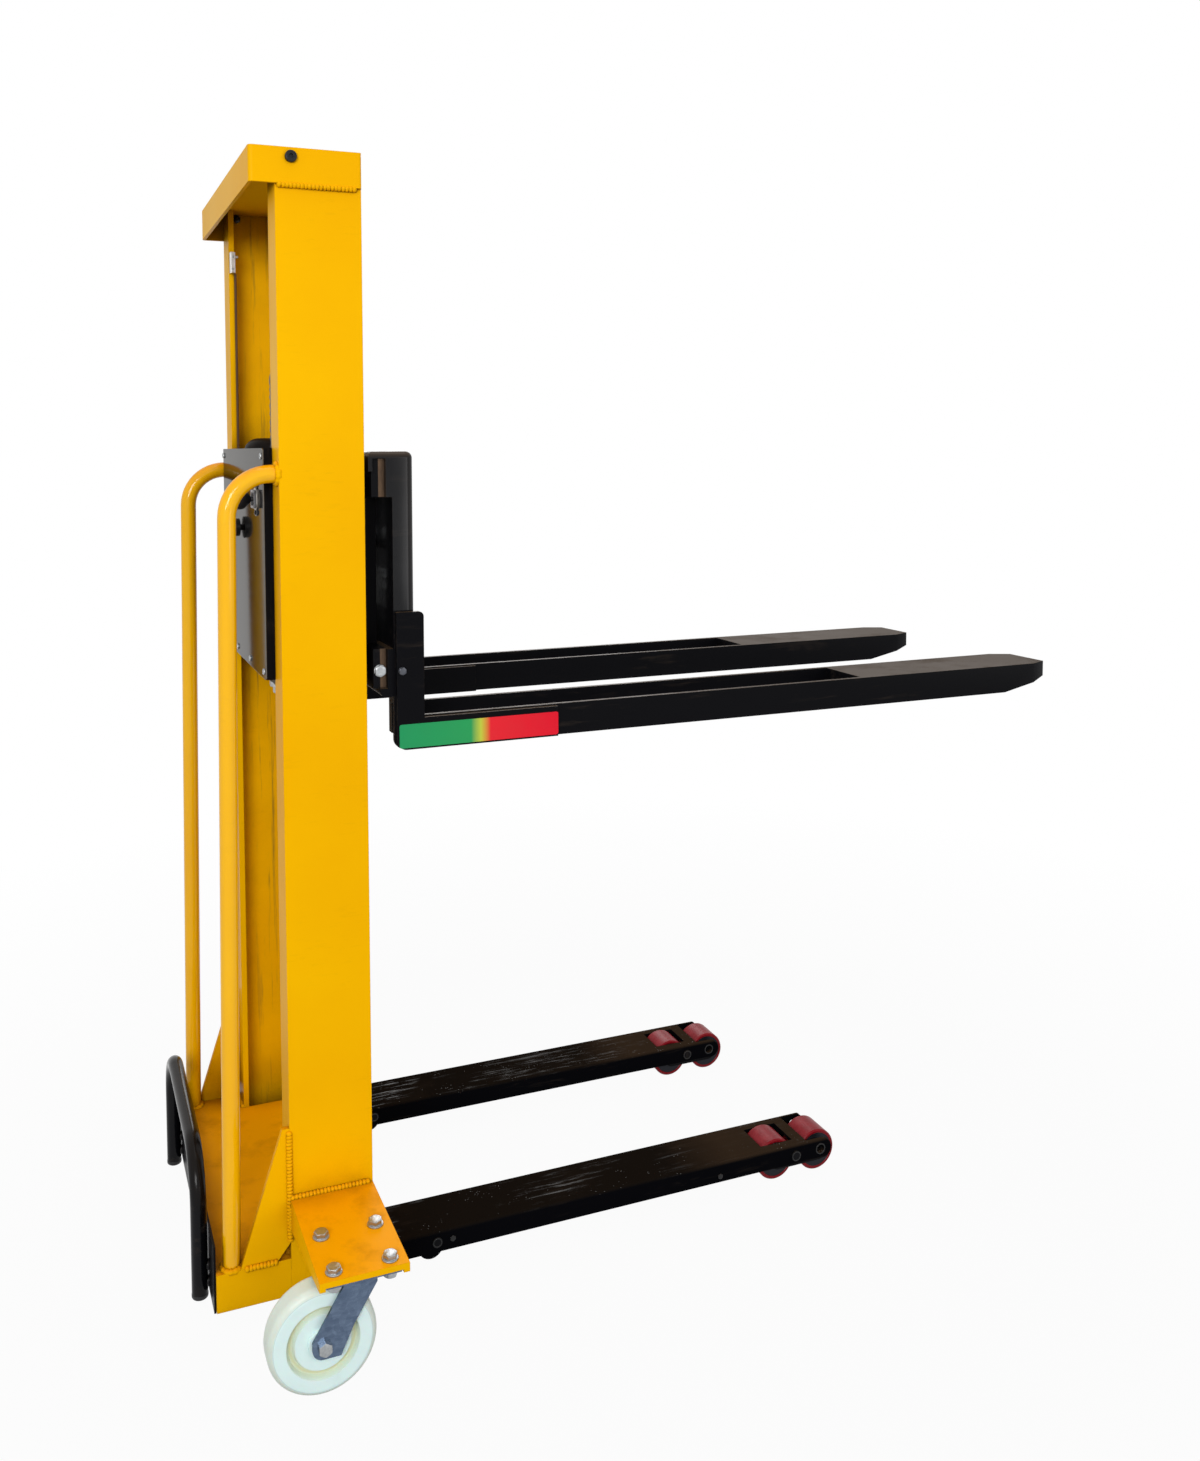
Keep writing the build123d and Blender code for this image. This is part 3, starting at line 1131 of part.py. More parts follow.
def build():
    put_pair("mast_channel", mast_channel())
    put("mast_head_cap", mast_head_cap())
    put("cap_screws", cap_screw(), flip(cap_screw()))
    put("base_frame", base_frame())
    put("base_rear_plate", base_rear_plate())
    put("base_gussets", base_gusset(), flip(base_gusset()))
    put_pair("caster_bracket", caster_bracket())
    bolts = [caster_bolt(x, y) for x, y in caster_bolt_places()]
    put("bracket_bolts", *bolts, *[flip(b) for b in bolts])
    put_pair("handle", handle())
    put("foot_bar", foot_bar())
    put("foot_bar_bolts", *[foot_bar_bolt(y, z) for y in (-FOOT_Y, FOOT_Y) for z in FOOT_BOLT_HEIGHTS])
    put_pair("leg", leg())
    pins = [leg_stub(-1), leg_stub(1), slide_pin()]
    put("leg_pins", *pins, *[flip(p) for p in pins])
    put("unit_frame", *unit_frame())
    put("panel_tray", panel_tray())
    put("control_panel", control_panel())
    put("panel_screws", *panel_screws())
    put("control_collars", lever_collar(), knob_collar())
    put("battery", battery())
    put("pump_unit", pump_unit())
    put("pump_motor", pump_motor())
    put("hydraulic_pipe", hydraulic_pipe())
    put("lift_cylinder", lift_cylinder())
    put("cylinder_gland", cylinder_gland())
    put("limit_switch", limit_switch())
    put("switch_cable", switch_cable())
    run = chain_run(CHAIN_REAR_X, -CHAIN_Y, CHAIN_BRACKET_TOP, SHEAVE_Z - SEAT_GAP)
    put("rear_chain_runs", run, flip(run))
    put("caster_plates", caster_plate(), flip(caster_plate()))
    put("lift_ram", lift_ram())
    put("crosshead", crosshead())
    put("chain_sheaves", chain_sheave(-CHAIN_Y), chain_sheave(CHAIN_Y))
    put("front_chain_runs", front_chain(-CHAIN_Y), front_chain(CHAIN_Y))
    put("carriage_frame", carriage_frame())
    put("carriage_upper_bar", carriage_upper_bar())
    put("carriage_lower_bar", carriage_lower_bar())
    put("carriage_bolts", *carriage_bolts())
    put_pair("fork", fork())
    put_pair("mast_roller_lower", mast_roller(MAST_ROLLER_HEIGHTS[0]))
    put_pair("mast_roller_upper", mast_roller(MAST_ROLLER_HEIGHTS[1]))
    for name, shape in (("yoke", caster_yoke()), ("axle", caster_axle()), ("wheel", caster_wheel())):
        put(f"caster_{name}_right", shape)
        put(f"caster_{name}_left", left_caster(shape))
    put_pair("bogie", bogie())
    for place, x in (("front", FRONT_ROLLER_X), ("rear", REAR_ROLLER_X)):
        solids = load_roller(x)
        put(f"load_roller_{place}_right", *solids)
        put(f"load_roller_{place}_left", *[flip(s) for s in solids])
    put("control_lever", *control_lever())
    put("push_knob", push_knob())


def write():
    os.makedirs("parts", exist_ok=True)
    shift = Pos(SHIFT_X, 0, 0)
    for name, solids in nodes.items():
        moved = [shift * solid for solid in solids]
        shape = moved[0] if len(moved) == 1 else Compound(children=moved)
        export_step(shape, f"parts/{name}.step")


build()
write()
print(len(nodes), "nodes, shift along X", SHIFT_X)
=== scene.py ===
import json
import math

import bpy
from mathutils import Matrix, Vector

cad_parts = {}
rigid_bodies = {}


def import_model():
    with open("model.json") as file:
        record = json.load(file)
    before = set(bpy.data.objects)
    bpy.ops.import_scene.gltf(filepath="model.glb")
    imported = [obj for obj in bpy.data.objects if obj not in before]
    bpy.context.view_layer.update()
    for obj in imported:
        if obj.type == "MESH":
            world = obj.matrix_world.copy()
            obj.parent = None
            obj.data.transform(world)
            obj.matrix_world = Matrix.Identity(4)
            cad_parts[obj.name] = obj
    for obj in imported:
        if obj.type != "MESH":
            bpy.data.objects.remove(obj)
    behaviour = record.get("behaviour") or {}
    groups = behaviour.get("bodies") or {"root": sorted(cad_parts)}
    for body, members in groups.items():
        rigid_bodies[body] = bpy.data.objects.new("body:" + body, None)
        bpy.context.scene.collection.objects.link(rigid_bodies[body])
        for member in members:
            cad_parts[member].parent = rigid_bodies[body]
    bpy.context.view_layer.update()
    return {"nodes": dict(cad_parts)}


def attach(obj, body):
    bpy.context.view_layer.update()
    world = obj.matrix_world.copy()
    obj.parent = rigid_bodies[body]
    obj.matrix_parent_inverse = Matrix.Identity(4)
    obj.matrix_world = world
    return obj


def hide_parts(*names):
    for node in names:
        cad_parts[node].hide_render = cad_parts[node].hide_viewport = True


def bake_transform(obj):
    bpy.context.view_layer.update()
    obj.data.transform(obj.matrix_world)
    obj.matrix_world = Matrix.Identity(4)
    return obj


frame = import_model()
shiftX = -0.491  # mast front face lies here along X
sides = (-1, 1)  # right and left of the machine
sideNames = ("right", "left")
zero = (0.0, 0.0, 0.0)
casterX = dict(right=-108, left=-10)  # wheel axles; the left caster stands half a turn round
rollerX = dict(front=775, rear=695)  # load roller axles


# small helpers

def deselectAll():
    if bpy.context.mode != "OBJECT":
        bpy.ops.object.mode_set(mode="OBJECT")
    bpy.ops.object.select_all(action="DESELECT")


def mm(x, y, z):
    # millimetres from the mast's front face, middle and floor
    return Vector((x / 1000 + shiftX, y / 1000, z / 1000))


def linear(red, green, blue):
    # screen colour 0-255 to the linear value that a shader takes
    out = []
    for value in (red, green, blue):
        part = value / 255
        out.append(part / 12.92 if part <= 0.04045 else ((part + 0.055) / 1.055) ** 2.4)
    return (out[0], out[1], out[2], 1.0)


def addNode(tree, kind, **settings):
    node = tree.nodes.new(kind)
    for key, value in settings.items():
        setattr(node, key, value)
    return node


def setInputs(node, **values):
    for key, value in values.items():
        node.inputs[key].default_value = value
    return node


def feed(tree, socket, value):
    if isinstance(value, bpy.types.NodeSocket):
        tree.links.new(value, socket)
    else:
        socket.default_value = value


def mixColours(tree, factor, colourA, colourB):
    mix = addNode(tree, "ShaderNodeMix", data_type="RGBA")
    for socket, value in ((mix.inputs[0], factor), (mix.inputs[6], colourA), (mix.inputs[7], colourB)):
        feed(tree, socket, value)
    return mix.outputs[2]


def maths(tree, operation, first, second=0.0, third=0.0, clamp=False):
    node = addNode(tree, "ShaderNodeMath", operation=operation, use_clamp=clamp)
    for socket, value in zip(node.inputs, (first, second, third)):
        feed(tree, socket, value)
    return node.outputs[0]


def times(tree, first, second, clamp=False):
    return maths(tree, "MULTIPLY", first, second, clamp=clamp)


def between(tree, value, low, high, soft):
    # 1 inside the range, falling to 0 over the soft width on both sides
    rise = maths(tree, "DIVIDE", maths(tree, "SUBTRACT", value, low), soft, clamp=True)
    fall = maths(tree, "DIVIDE", maths(tree, "SUBTRACT", high, value), soft, clamp=True)
    return times(tree, rise, fall)


def axes(tree, vector):
    split = addNode(tree, "ShaderNodeSeparateXYZ")
    tree.links.new(vector, split.inputs[0])
    return split.outputs["X"], split.outputs["Y"], split.outputs["Z"]


def ramp(tree, factor, *stops):
    node = addNode(tree, "ShaderNodeValToRGB")
    band = node.color_ramp
    while len(band.elements) < len(stops):
        band.elements.new(0.5)
    for element, (place, colour) in zip(band.elements, stops):
        element.position = place
        element.color = colour if len(colour) == 4 else (*colour, 1.0)
    tree.links.new(factor, node.inputs[0])
    return node.outputs[0]


def fadeIn(tree, value, low, high):
    # 0 below low, rising to 1 at high
    return ramp(tree, value, (low, (0, 0, 0)), (high, (1, 1, 1)))


def noise(tree, vector, scale, detail=3.0, roughness=0.55):
    node = addNode(tree, "ShaderNodeTexNoise")
    setInputs(node, Detail=detail, Roughness=roughness)
    feed(tree, node.inputs["Scale"], scale)
    tree.links.new(vector, node.inputs["Vector"])
    return node.outputs["Fac"]


def stretched(tree, vector, scale):
    mapping = addNode(tree, "ShaderNodeMapping")
    mapping.inputs["Scale"].default_value = scale
    tree.links.new(vector, mapping.inputs["Vector"])
    return mapping.outputs[0]


def newGroup(name, outputs, **values):
    # takes a vector and the named values, and puts out plain numbers
    tree = bpy.data.node_groups.new(name, "ShaderNodeTree")
    tree.interface.new_socket(name="Vector", in_out="INPUT", socket_type="NodeSocketVector")
    for label, value in values.items():
        kind = "NodeSocketVector" if isinstance(value, tuple) else "NodeSocketFloat"
        tree.interface.new_socket(name=label, in_out="INPUT", socket_type=kind).default_value = value
    for label in outputs:
        tree.interface.new_socket(name=label, in_out="OUTPUT", socket_type="NodeSocketFloat")
    return tree, tree.nodes.new("NodeGroupInput").outputs, tree.nodes.new("NodeGroupOutput").inputs


def useGroup(tree, group, vector, **values):
    node = addNode(tree, "ShaderNodeGroup", node_tree=group)
    tree.links.new(vector, node.inputs["Vector"])
    return setInputs(node, **values).outputs


# modelling helpers

def makeActive(piece):
    deselectAll()
    piece.select_set(True)
    bpy.context.view_layer.objects.active = piece


def pick(piece, kind, test):
    # edit mode, with only the faces, edges or points that pass the test selected
    makeActive(piece)
    bpy.ops.object.mode_set(mode="EDIT")
    bpy.ops.mesh.select_mode(type=kind)
    bpy.ops.mesh.select_all(action="DESELECT")
    bpy.ops.object.mode_set(mode="OBJECT")
    mesh = piece.data
    if kind == "FACE":
        for face in mesh.polygons:
            face.select = bool(test(face.center, face.normal))
    elif kind == "EDGE":
        for edge in mesh.edges:
            first, second = (mesh.vertices[index].co for index in edge.vertices)
            edge.select = bool(test((first + second) / 2, (second - first).normalized()))
    else:
        for point in mesh.vertices:
            point.select = bool(test(point.co, point.normal))
    bpy.ops.object.mode_set(mode="EDIT")


def pickAll(piece):
    pick(piece, "VERT", lambda spot, normal: True)


def leaveEdit():
    bpy.ops.object.mode_set(mode="OBJECT")


def bevelEdges(piece, width, segments, test):
    pick(piece, "EDGE", test)
    bpy.ops.mesh.bevel(offset=width, segments=segments, profile=0.5, affect="EDGES")
    leaveEdit()
    return piece


def roundTop(piece, width, segments, height):
    return bevelEdges(piece, width, segments, lambda spot, way: spot.z > height * 0.9 and abs(way.z) < 0.1)


def applyModifier(piece, kind, **settings):
    makeActive(piece)
    bpy.ops.object.modifier_add(type=kind)
    modifier = piece.modifiers[-1]
    for key, value in settings.items():
        setattr(modifier, key, value)
    bpy.ops.object.modifier_apply(modifier=modifier.name)
    return piece


def cutWith(piece, cutter, operation="DIFFERENCE"):
    applyModifier(piece, "BOOLEAN", operation=operation, object=cutter, solver="EXACT")
    makeActive(cutter)
    bpy.ops.object.delete()
    makeActive(piece)
    return piece


def place(piece, spot=zero, turn=zero, scale=(1.0, 1.0, 1.0)):
    makeActive(piece)
    piece.scale = scale
    piece.rotation_euler = turn
    piece.location = spot
    bpy.ops.object.transform_apply(location=True, rotation=True, scale=True)
    return piece


def join(pieces):
    deselectAll()
    for piece in pieces:
        piece.select_set(True)
    bpy.context.view_layer.objects.active = pieces[0]
    if len(pieces) > 1:
        bpy.ops.object.join()
    return bpy.context.object


def copyOf(piece, spot=zero, turn=zero):
    makeActive(piece)
    bpy.ops.object.duplicate()
    return place(bpy.context.object, spot, turn)


def spread(model, places):
    # one joined piece with a copy of the model at each spot and turn; the model itself goes
    made = [copyOf(model, spot, turn) for spot, turn in places]
    makeActive(model)
    bpy.ops.object.delete()
    return join(made)


def fit(piece, name, finish, body=None, smooth=38.0):
    piece.name = name
    piece.data.name = name
    piece.data.materials.clear()
    piece.data.materials.append(look[finish])
    makeActive(piece)
    bpy.ops.object.shade_smooth_by_angle(angle=math.radians(smooth))
    if body:
        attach(piece, body)
    return piece


def newCylinder(radius, depth, points=32, middle=zero):
    deselectAll()
    bpy.ops.mesh.primitive_cylinder_add(vertices=points, radius=radius, depth=depth)
    return place(bpy.context.object, middle)


def newBlock(size, middle=zero):
    deselectAll()
    bpy.ops.mesh.primitive_cube_add(size=1.0)
    return place(bpy.context.object, middle, scale=size)


# shared surface effects

def makeEdgeWear():
    tree, given, result = newGroup("edgeWear", ("Mask",), Width=0.002, Grain=90.0, Amount=0.5)
    bevel = addNode(tree, "ShaderNodeBevel", samples=4)
    tree.links.new(given["Width"], bevel.inputs["Radius"])
    face = addNode(tree, "ShaderNodeNewGeometry")
    dot = addNode(tree, "ShaderNodeVectorMath", operation="DOT_PRODUCT")
    tree.links.new(bevel.outputs[0], dot.inputs[0])
    tree.links.new(face.outputs["Normal"], dot.inputs[1])
    edge = times(tree, maths(tree, "SUBTRACT", 1.0, dot.outputs["Value"]), 6.0, clamp=True)
    grain = noise(tree, given["Vector"], given["Grain"], 4.0, 0.65)
    broken = fadeIn(tree, grain, 0.48, 0.62)
    mask = times(tree, edge, broken)
    tree.links.new(times(tree, mask, given["Amount"], clamp=True), result["Mask"])
    return tree


def makeScratches():
    tree, given, result = newGroup("scratches", ("Mask",), Stretch=(4.0, 120.0, 120.0), Cover=0.3)
    bend = noise(tree, given["Vector"], 6.0, 2.0)
    sway = addNode(tree, "ShaderNodeVectorMath", operation="MULTIPLY_ADD")
    tree.links.new(given["Vector"], sway.inputs[0])
    tree.links.new(given["Stretch"], sway.inputs[1])
    tree.links.new(bend, sway.inputs[2])
    lines = noise(tree, sway.outputs[0], 1.0, 4.0, 0.7)
    patches = noise(tree, given["Vector"], 9.0, 3.0)
    thin = fadeIn(tree, lines, 0.56, 0.66)
    where = fadeIn(tree, patches, 0.45, 0.62)
    mask = times(tree, thin, where)
    tree.links.new(times(tree, mask, given["Cover"], clamp=True), result["Mask"])
    return tree


def makeTopGrimeAndShade():
    tree, given, result = newGroup("topGrimeAndShade", ("Up", "Grime"), Scale=14.0)
    # Up marks the up-facing faces, which the yellow paints darken as painted shade and the black paints
    # cover with dust; Grime is dust in spots on them
    face = addNode(tree, "ShaderNodeNewGeometry")
    up = times(tree, axes(tree, face.outputs["Normal"])[2], 1.0, clamp=True)
    cloud = noise(tree, given["Vector"], given["Scale"], 5.0, 0.65)
    spots = fadeIn(tree, cloud, 0.5, 0.72)
    tree.links.new(up, result["Up"])
    tree.links.new(times(tree, up, spots), result["Grime"])
    return tree


def makeOrangePeel():
    tree, given, result = newGroup("orangePeel", ("Height", "Tone"), Scale=380.0)
    peel = noise(tree, given["Vector"], given["Scale"], 2.0, 0.5)
    tone = noise(tree, given["Vector"], 3.5, 4.0)
    tree.links.new(peel, result["Height"])
    tree.links.new(tone, result["Tone"])
    return tree


def makeSpecks():
    tree, given, result = newGroup("specks", ("Mask",), Scale=260.0, Size=0.16)
    cells = addNode(tree, "ShaderNodeTexVoronoi")
    tree.links.new(given["Vector"], cells.inputs["Vector"])
    tree.links.new(given["Scale"], cells.inputs["Scale"])
    dots = maths(tree, "LESS_THAN", cells.outputs["Distance"], given["Size"])
    patch = fadeIn(tree, noise(tree, given["Vector"], 40.0, 4.0), 0.55, 0.62)
    tree.links.new(times(tree, dots, patch), result["Mask"])
    return tree


def makeCornerShade():
    # painted shade: darker where ambient occlusion finds corners, recesses and gaps between parts, a little
    # uneven
    tree, given, result = newGroup("cornerShade", ("Mask",), Reach=0.1)
    hollow = addNode(tree, "ShaderNodeAmbientOcclusion", samples=6)
    tree.links.new(given["Reach"], hollow.inputs["Distance"])
    closed = maths(tree, "SUBTRACT", 1.0, hollow.outputs["AO"], clamp=True)
    uneven = maths(tree, "MULTIPLY_ADD", noise(tree, given["Vector"], 12.0, 4.0), 0.3, -0.15)
    mask = fadeIn(tree, maths(tree, "ADD", closed, uneven), 0.28, 0.78)
    tree.links.new(mask, result["Mask"])
    return tree


edgeWear = makeEdgeWear()
cornerShade = makeCornerShade()
scratches = makeScratches()
topGrimeAndShade = makeTopGrimeAndShade()
orangePeel = makeOrangePeel()
specks = makeSpecks()
print("surface groups ready")


# materials

def newMaterial(name):
    material = bpy.data.materials.new(name)
    material.use_nodes = True
    tree = material.node_tree
    tree.nodes.clear()
    output = tree.nodes.new("ShaderNodeOutputMaterial")
    shader = tree.nodes.new("ShaderNodeBsdfPrincipled")
    tree.links.new(shader.outputs[0], output.inputs[0])
    coords = tree.nodes.new("ShaderNodeTexCoord").outputs["Object"]
    return material, tree, shader, coords


def bumpInto(tree, shader, height, strength, distance, softEdge=0.0):
    bump = addNode(tree, "ShaderNodeBump")
    setInputs(bump, Strength=strength, Distance=distance)
    tree.links.new(height, bump.inputs["Height"])
    if softEdge:
        bevel = addNode(tree, "ShaderNodeBevel", samples=4)
        bevel.inputs["Radius"].default_value = softEdge
        tree.links.new(bevel.outputs[0], bump.inputs["Normal"])
    tree.links.new(bump.outputs[0], shader.inputs["Normal"])


def roughen(tree, shader, pattern, spread, least):
    tree.links.new(maths(tree, "MULTIPLY_ADD", pattern, spread, least), shader.inputs["Roughness"])


def colourWith(tree, shader, colour):
    tree.links.new(colour, shader.inputs["Base Color"])


# shade is painted shade for corners and recesses; top is painted shade, darker and more orange, for
# up-facing faces
yellowPaint = dict(
    colour=linear(245, 184, 0), deep=linear(240, 175, 0), top=linear(242, 160, 0), shade=linear(92, 56, 4),
    grime=linear(120, 62, 8), chip=linear(96, 60, 30), oil=linear(70, 62, 40), gloss=0.36,
    web=(0.2335, 0.2365), webX=(-0.104, -0.014), webSoft=0.0005, trackSoft=0.03,
    grimeShare=0.3, scuffShare=0.25, cornerShadeShare=0.88, oilShare=0.72, shine=0.03, coatRough=0.08,
)


def makeYellow(name, oily=False, lacquer=0.0):
    material, tree, shader, coords = newMaterial(name)
    peel = useGroup(tree, orangePeel, coords, Scale=420.0)
    top = useGroup(tree, topGrimeAndShade, coords, Scale=16.0)
    wear = useGroup(tree, edgeWear, coords, Width=0.0016, Grain=70.0, Amount=0.3)
    marks = useGroup(tree, scratches, coords, Stretch=(30.0, 30.0, 160.0), Cover=0.2)
    tone = fadeIn(tree, peel["Tone"], 0.35, 0.7)
    colour = mixColours(tree, tone, yellowPaint["colour"], yellowPaint["deep"])
    # painted shade: up-facing faces take the darker, more orange top colour
    colour = mixColours(tree, top["Up"], colour, yellowPaint["top"])
    grime = times(tree, top["Grime"], yellowPaint["grimeShare"])
    colour = mixColours(tree, grime, colour, yellowPaint["grime"])
    scuff = times(tree, marks["Mask"], yellowPaint["scuffShare"])
    colour = mixColours(tree, scuff, colour, yellowPaint["grime"])
    # painted shade in corners and recesses
    corner = useGroup(tree, cornerShade, coords, Reach=0.1)["Mask"]
    corner = times(tree, corner, yellowPaint["cornerShadeShare"])
    colour = mixColours(tree, corner, colour, yellowPaint["shade"])
    colour = mixColours(tree, wear["Mask"], colour, yellowPaint["chip"])
    if oily:
        # grease that the carriage rollers leave on the inner web
        x, y = axes(tree, coords)[:2]
        onWeb = between(tree, maths(tree, "ABSOLUTE", y), *yellowPaint["web"], yellowPaint["webSoft"])
        low, high = (value + shiftX for value in yellowPaint["webX"])
        track = times(tree, onWeb, between(tree, x, low, high, yellowPaint["trackSoft"]))
        runs = noise(tree, stretched(tree, coords, (130.0, 1.0, 5.0)), 1.0, 5.0, 0.7)
        stain = fadeIn(tree, runs, 0.54, 0.74)
        stain = times(tree, times(tree, stain, track), yellowPaint["oilShare"])
        colour = mixColours(tree, stain, colour, yellowPaint["oil"])
    colourWith(tree, shader, colour)
    rough = maths(tree, "MULTIPLY_ADD", peel["Tone"], 0.16, yellowPaint["gloss"] - 0.06)
    rough = maths(tree, "MULTIPLY_ADD", top["Grime"], 0.2, rough)
    tree.links.new(rough, shader.inputs["Roughness"])
    setInputs(shader, **{"Specular IOR Level": yellowPaint["shine"], "Coat Weight": lacquer,
                         "Coat Roughness": yellowPaint["coatRough"]})
    bumpInto(tree, shader, peel["Height"], 0.12, 0.0006, 0.0012)
    return material


blackPaint = dict(
    colour=linear(10, 10, 13), film=linear(22, 17, 13), brownFilm=linear(66, 52, 38),
    dusty=linear(58, 44, 32), chip=linear(84, 72, 62), speck=linear(200, 200, 198), scuffShare=0.22,
    shankFrom=0.99, shankCoat=(0.5, 0.05), coatRough=0.12, wetTo=0.55, wetStretch=(9.0, 150.0, 5.0),
    wetRoot=(0.7, 0.3), tipFrom=0.51, tipOver=0.1, tipDust=0.6,
)


def makeBlack(name, topDust, gloss, stretch, shine=0.05, speckAmount=0.0, glossyShank=False, wet=0.0,
              film="film"):
    material, tree, shader, coords = newMaterial(name)
    peel = useGroup(tree, orangePeel, coords, Scale=330.0)
    top = useGroup(tree, topGrimeAndShade, coords, Scale=9.0)
    wear = useGroup(tree, edgeWear, coords, Width=0.0014, Grain=110.0, Amount=0.3)
    marks = useGroup(tree, scratches, coords, Stretch=stretch, Cover=0.6)
    colour = mixColours(tree, top["Up"], blackPaint["colour"], blackPaint[film])
    dust = times(tree, top["Grime"], topDust)
    colour = mixColours(tree, dust, colour, blackPaint["dusty"])
    scuff = times(tree, marks["Mask"], blackPaint["scuffShare"])
    colour = mixColours(tree, scuff, colour, blackPaint["chip"])
    colour = mixColours(tree, wear["Mask"], colour, blackPaint["chip"])
    if wet:
        # duller, browner film toward the free end
        tip = maths(tree, "SUBTRACT", axes(tree, coords)[0], blackPaint["tipFrom"] + shiftX)
        tip = maths(tree, "DIVIDE", tip, blackPaint["tipOver"], clamp=True)
        tip = times(tree, times(tree, tip, blackPaint["tipDust"]), top["Up"])
        colour = mixColours(tree, tip, colour, blackPaint["dusty"])
    if speckAmount:
        grit = useGroup(tree, specks, coords, Scale=230.0, Size=0.13)
        fleck = times(tree, grit["Mask"], times(tree, top["Up"], speckAmount))
        colour = mixColours(tree, fleck, colour, blackPaint["speck"])
    colourWith(tree, shader, colour)
    rough = maths(tree, "MULTIPLY_ADD", peel["Tone"], 0.22, gloss - 0.1)
    rough = maths(tree, "MULTIPLY_ADD", top["Grime"], 0.15, rough, clamp=True)
    tree.links.new(rough, shader.inputs["Roughness"])
    setInputs(shader, **{"Specular IOR Level": shine, "Coat Roughness": blackPaint["coatRough"]})
    if glossyShank:
        # thicker, shinier paint on the upright above the doublers
        onShank = maths(tree, "GREATER_THAN", axes(tree, coords)[2], blackPaint["shankFrom"])
        coat = maths(tree, "MULTIPLY_ADD", peel["Tone"], *blackPaint["shankCoat"])
        tree.links.new(times(tree, onShank, coat), shader.inputs["Coat Weight"])
    if wet:
        # polished and greasy runs along the upper faces
        runs = noise(tree, stretched(tree, coords, blackPaint["wetStretch"]), 1.0, 7.0, 0.8)
        where = fadeIn(tree, noise(tree, coords, 8.0, 3.0), 0.44, 0.6)
        runs = times(tree, fadeIn(tree, runs, 0.55, 0.62), where)
        root = maths(tree, "SUBTRACT", blackPaint["wetTo"] + shiftX, axes(tree, coords)[0])
        root = maths(tree, "DIVIDE", root, blackPaint["wetTo"], clamp=True)
        runs = times(tree, runs, maths(tree, "MULTIPLY_ADD", root, *blackPaint["wetRoot"]))
        shiny = times(tree, runs, top["Up"])
        tree.links.new(times(tree, shiny, wet), shader.inputs["Coat Weight"])
    bumpInto(tree, shader, peel["Height"], 0.2, 0.0006, 0.0012)
    return material


barPaint = dict(
    steel=linear(104, 84, 66), dark=linear(50, 40, 34), end=0.2315, bareFrom=0.022,
    scuffShare=0.3, metalShare=0.7, shine=0.06,
)


def makeBar():
    # black bars whose cut ends are left as bare steel
    material, tree, shader, coords = newMaterial("barPaint")
    peel = useGroup(tree, orangePeel, coords, Scale=330.0)
    marks = useGroup(tree, scratches, coords, Stretch=(60.0, 5.0, 60.0), Cover=0.6)
    x, y = axes(tree, coords)[:2]
    atEnd = maths(tree, "GREATER_THAN", maths(tree, "ABSOLUTE", y), barPaint["end"])
    atEnd = times(tree, atEnd, maths(tree, "GREATER_THAN", x, barPaint["bareFrom"] + shiftX))
    saw = noise(tree, stretched(tree, coords, (300.0, 20.0, 60.0)), 1.0, 5.0, 0.7)
    cut = mixColours(tree, saw, barPaint["dark"], barPaint["steel"])
    scuff = times(tree, marks["Mask"], barPaint["scuffShare"])
    paint = mixColours(tree, scuff, blackPaint["colour"], blackPaint["chip"])
    colourWith(tree, shader, mixColours(tree, atEnd, paint, cut))
    tree.links.new(times(tree, atEnd, barPaint["metalShare"]), shader.inputs["Metallic"])
    roughen(tree, shader, saw, 0.2, 0.3)
    shader.inputs["Specular IOR Level"].default_value = barPaint["shine"]
    bumpInto(tree, shader, peel["Height"], 0.15, 0.0006, 0.0012)
    return material


def makeMetal(name, colour, dark, gloss, stretch, spangle=0.0, edge=1.0, spread=0.18):
    material, tree, shader, coords = newMaterial(name)
    grain = noise(tree, stretched(tree, coords, stretch), 1.0, 4.0, 0.6)
    cloud = noise(tree, coords, 22.0, 3.0)
    tint = mixColours(tree, grain, dark, colour)
    if spangle:
        flakes = addNode(tree, "ShaderNodeTexVoronoi")
        flakes.inputs["Scale"].default_value = 160.0
        tree.links.new(coords, flakes.inputs["Vector"])
        flake = times(tree, flakes.outputs["Color"], spangle)
        tint = mixColours(tree, flake, tint, dark)
    tint = mixColours(tree, times(tree, cloud, 0.35), tint, dark)
    colourWith(tree, shader, tint)
    roughen(tree, shader, grain, spread, gloss - spread / 2)
    setInputs(shader, **{"Metallic": 1.0, "Specular Tint": (edge, edge, edge, 1.0)})
    bumpInto(tree, shader, grain, 0.08, 0.0004, 0.0008)
    return material


def makePlastic(name, colour, worn, gloss):
    material, tree, shader, coords = newMaterial(name)
    peel = useGroup(tree, orangePeel, coords, Scale=500.0)
    wear = useGroup(tree, edgeWear, coords, Width=0.0012, Grain=140.0, Amount=0.5)
    tint = mixColours(tree, times(tree, peel["Tone"], 0.4), colour, worn)
    tint = mixColours(tree, times(tree, wear["Mask"], 0.5), tint, worn)
    colourWith(tree, shader, tint)
    roughen(tree, shader, peel["Tone"], 0.2, gloss - 0.1)
    shader.inputs["Specular IOR Level"].default_value = 0.3
    bumpInto(tree, shader, peel["Height"], 0.2, 0.0004, 0.0008)
    return material


leverTones = dict(
    shaftFrom=-0.1375, shaft=linear(206, 208, 206), grip=linear(24, 24, 27), worn=linear(52, 52, 56),
)


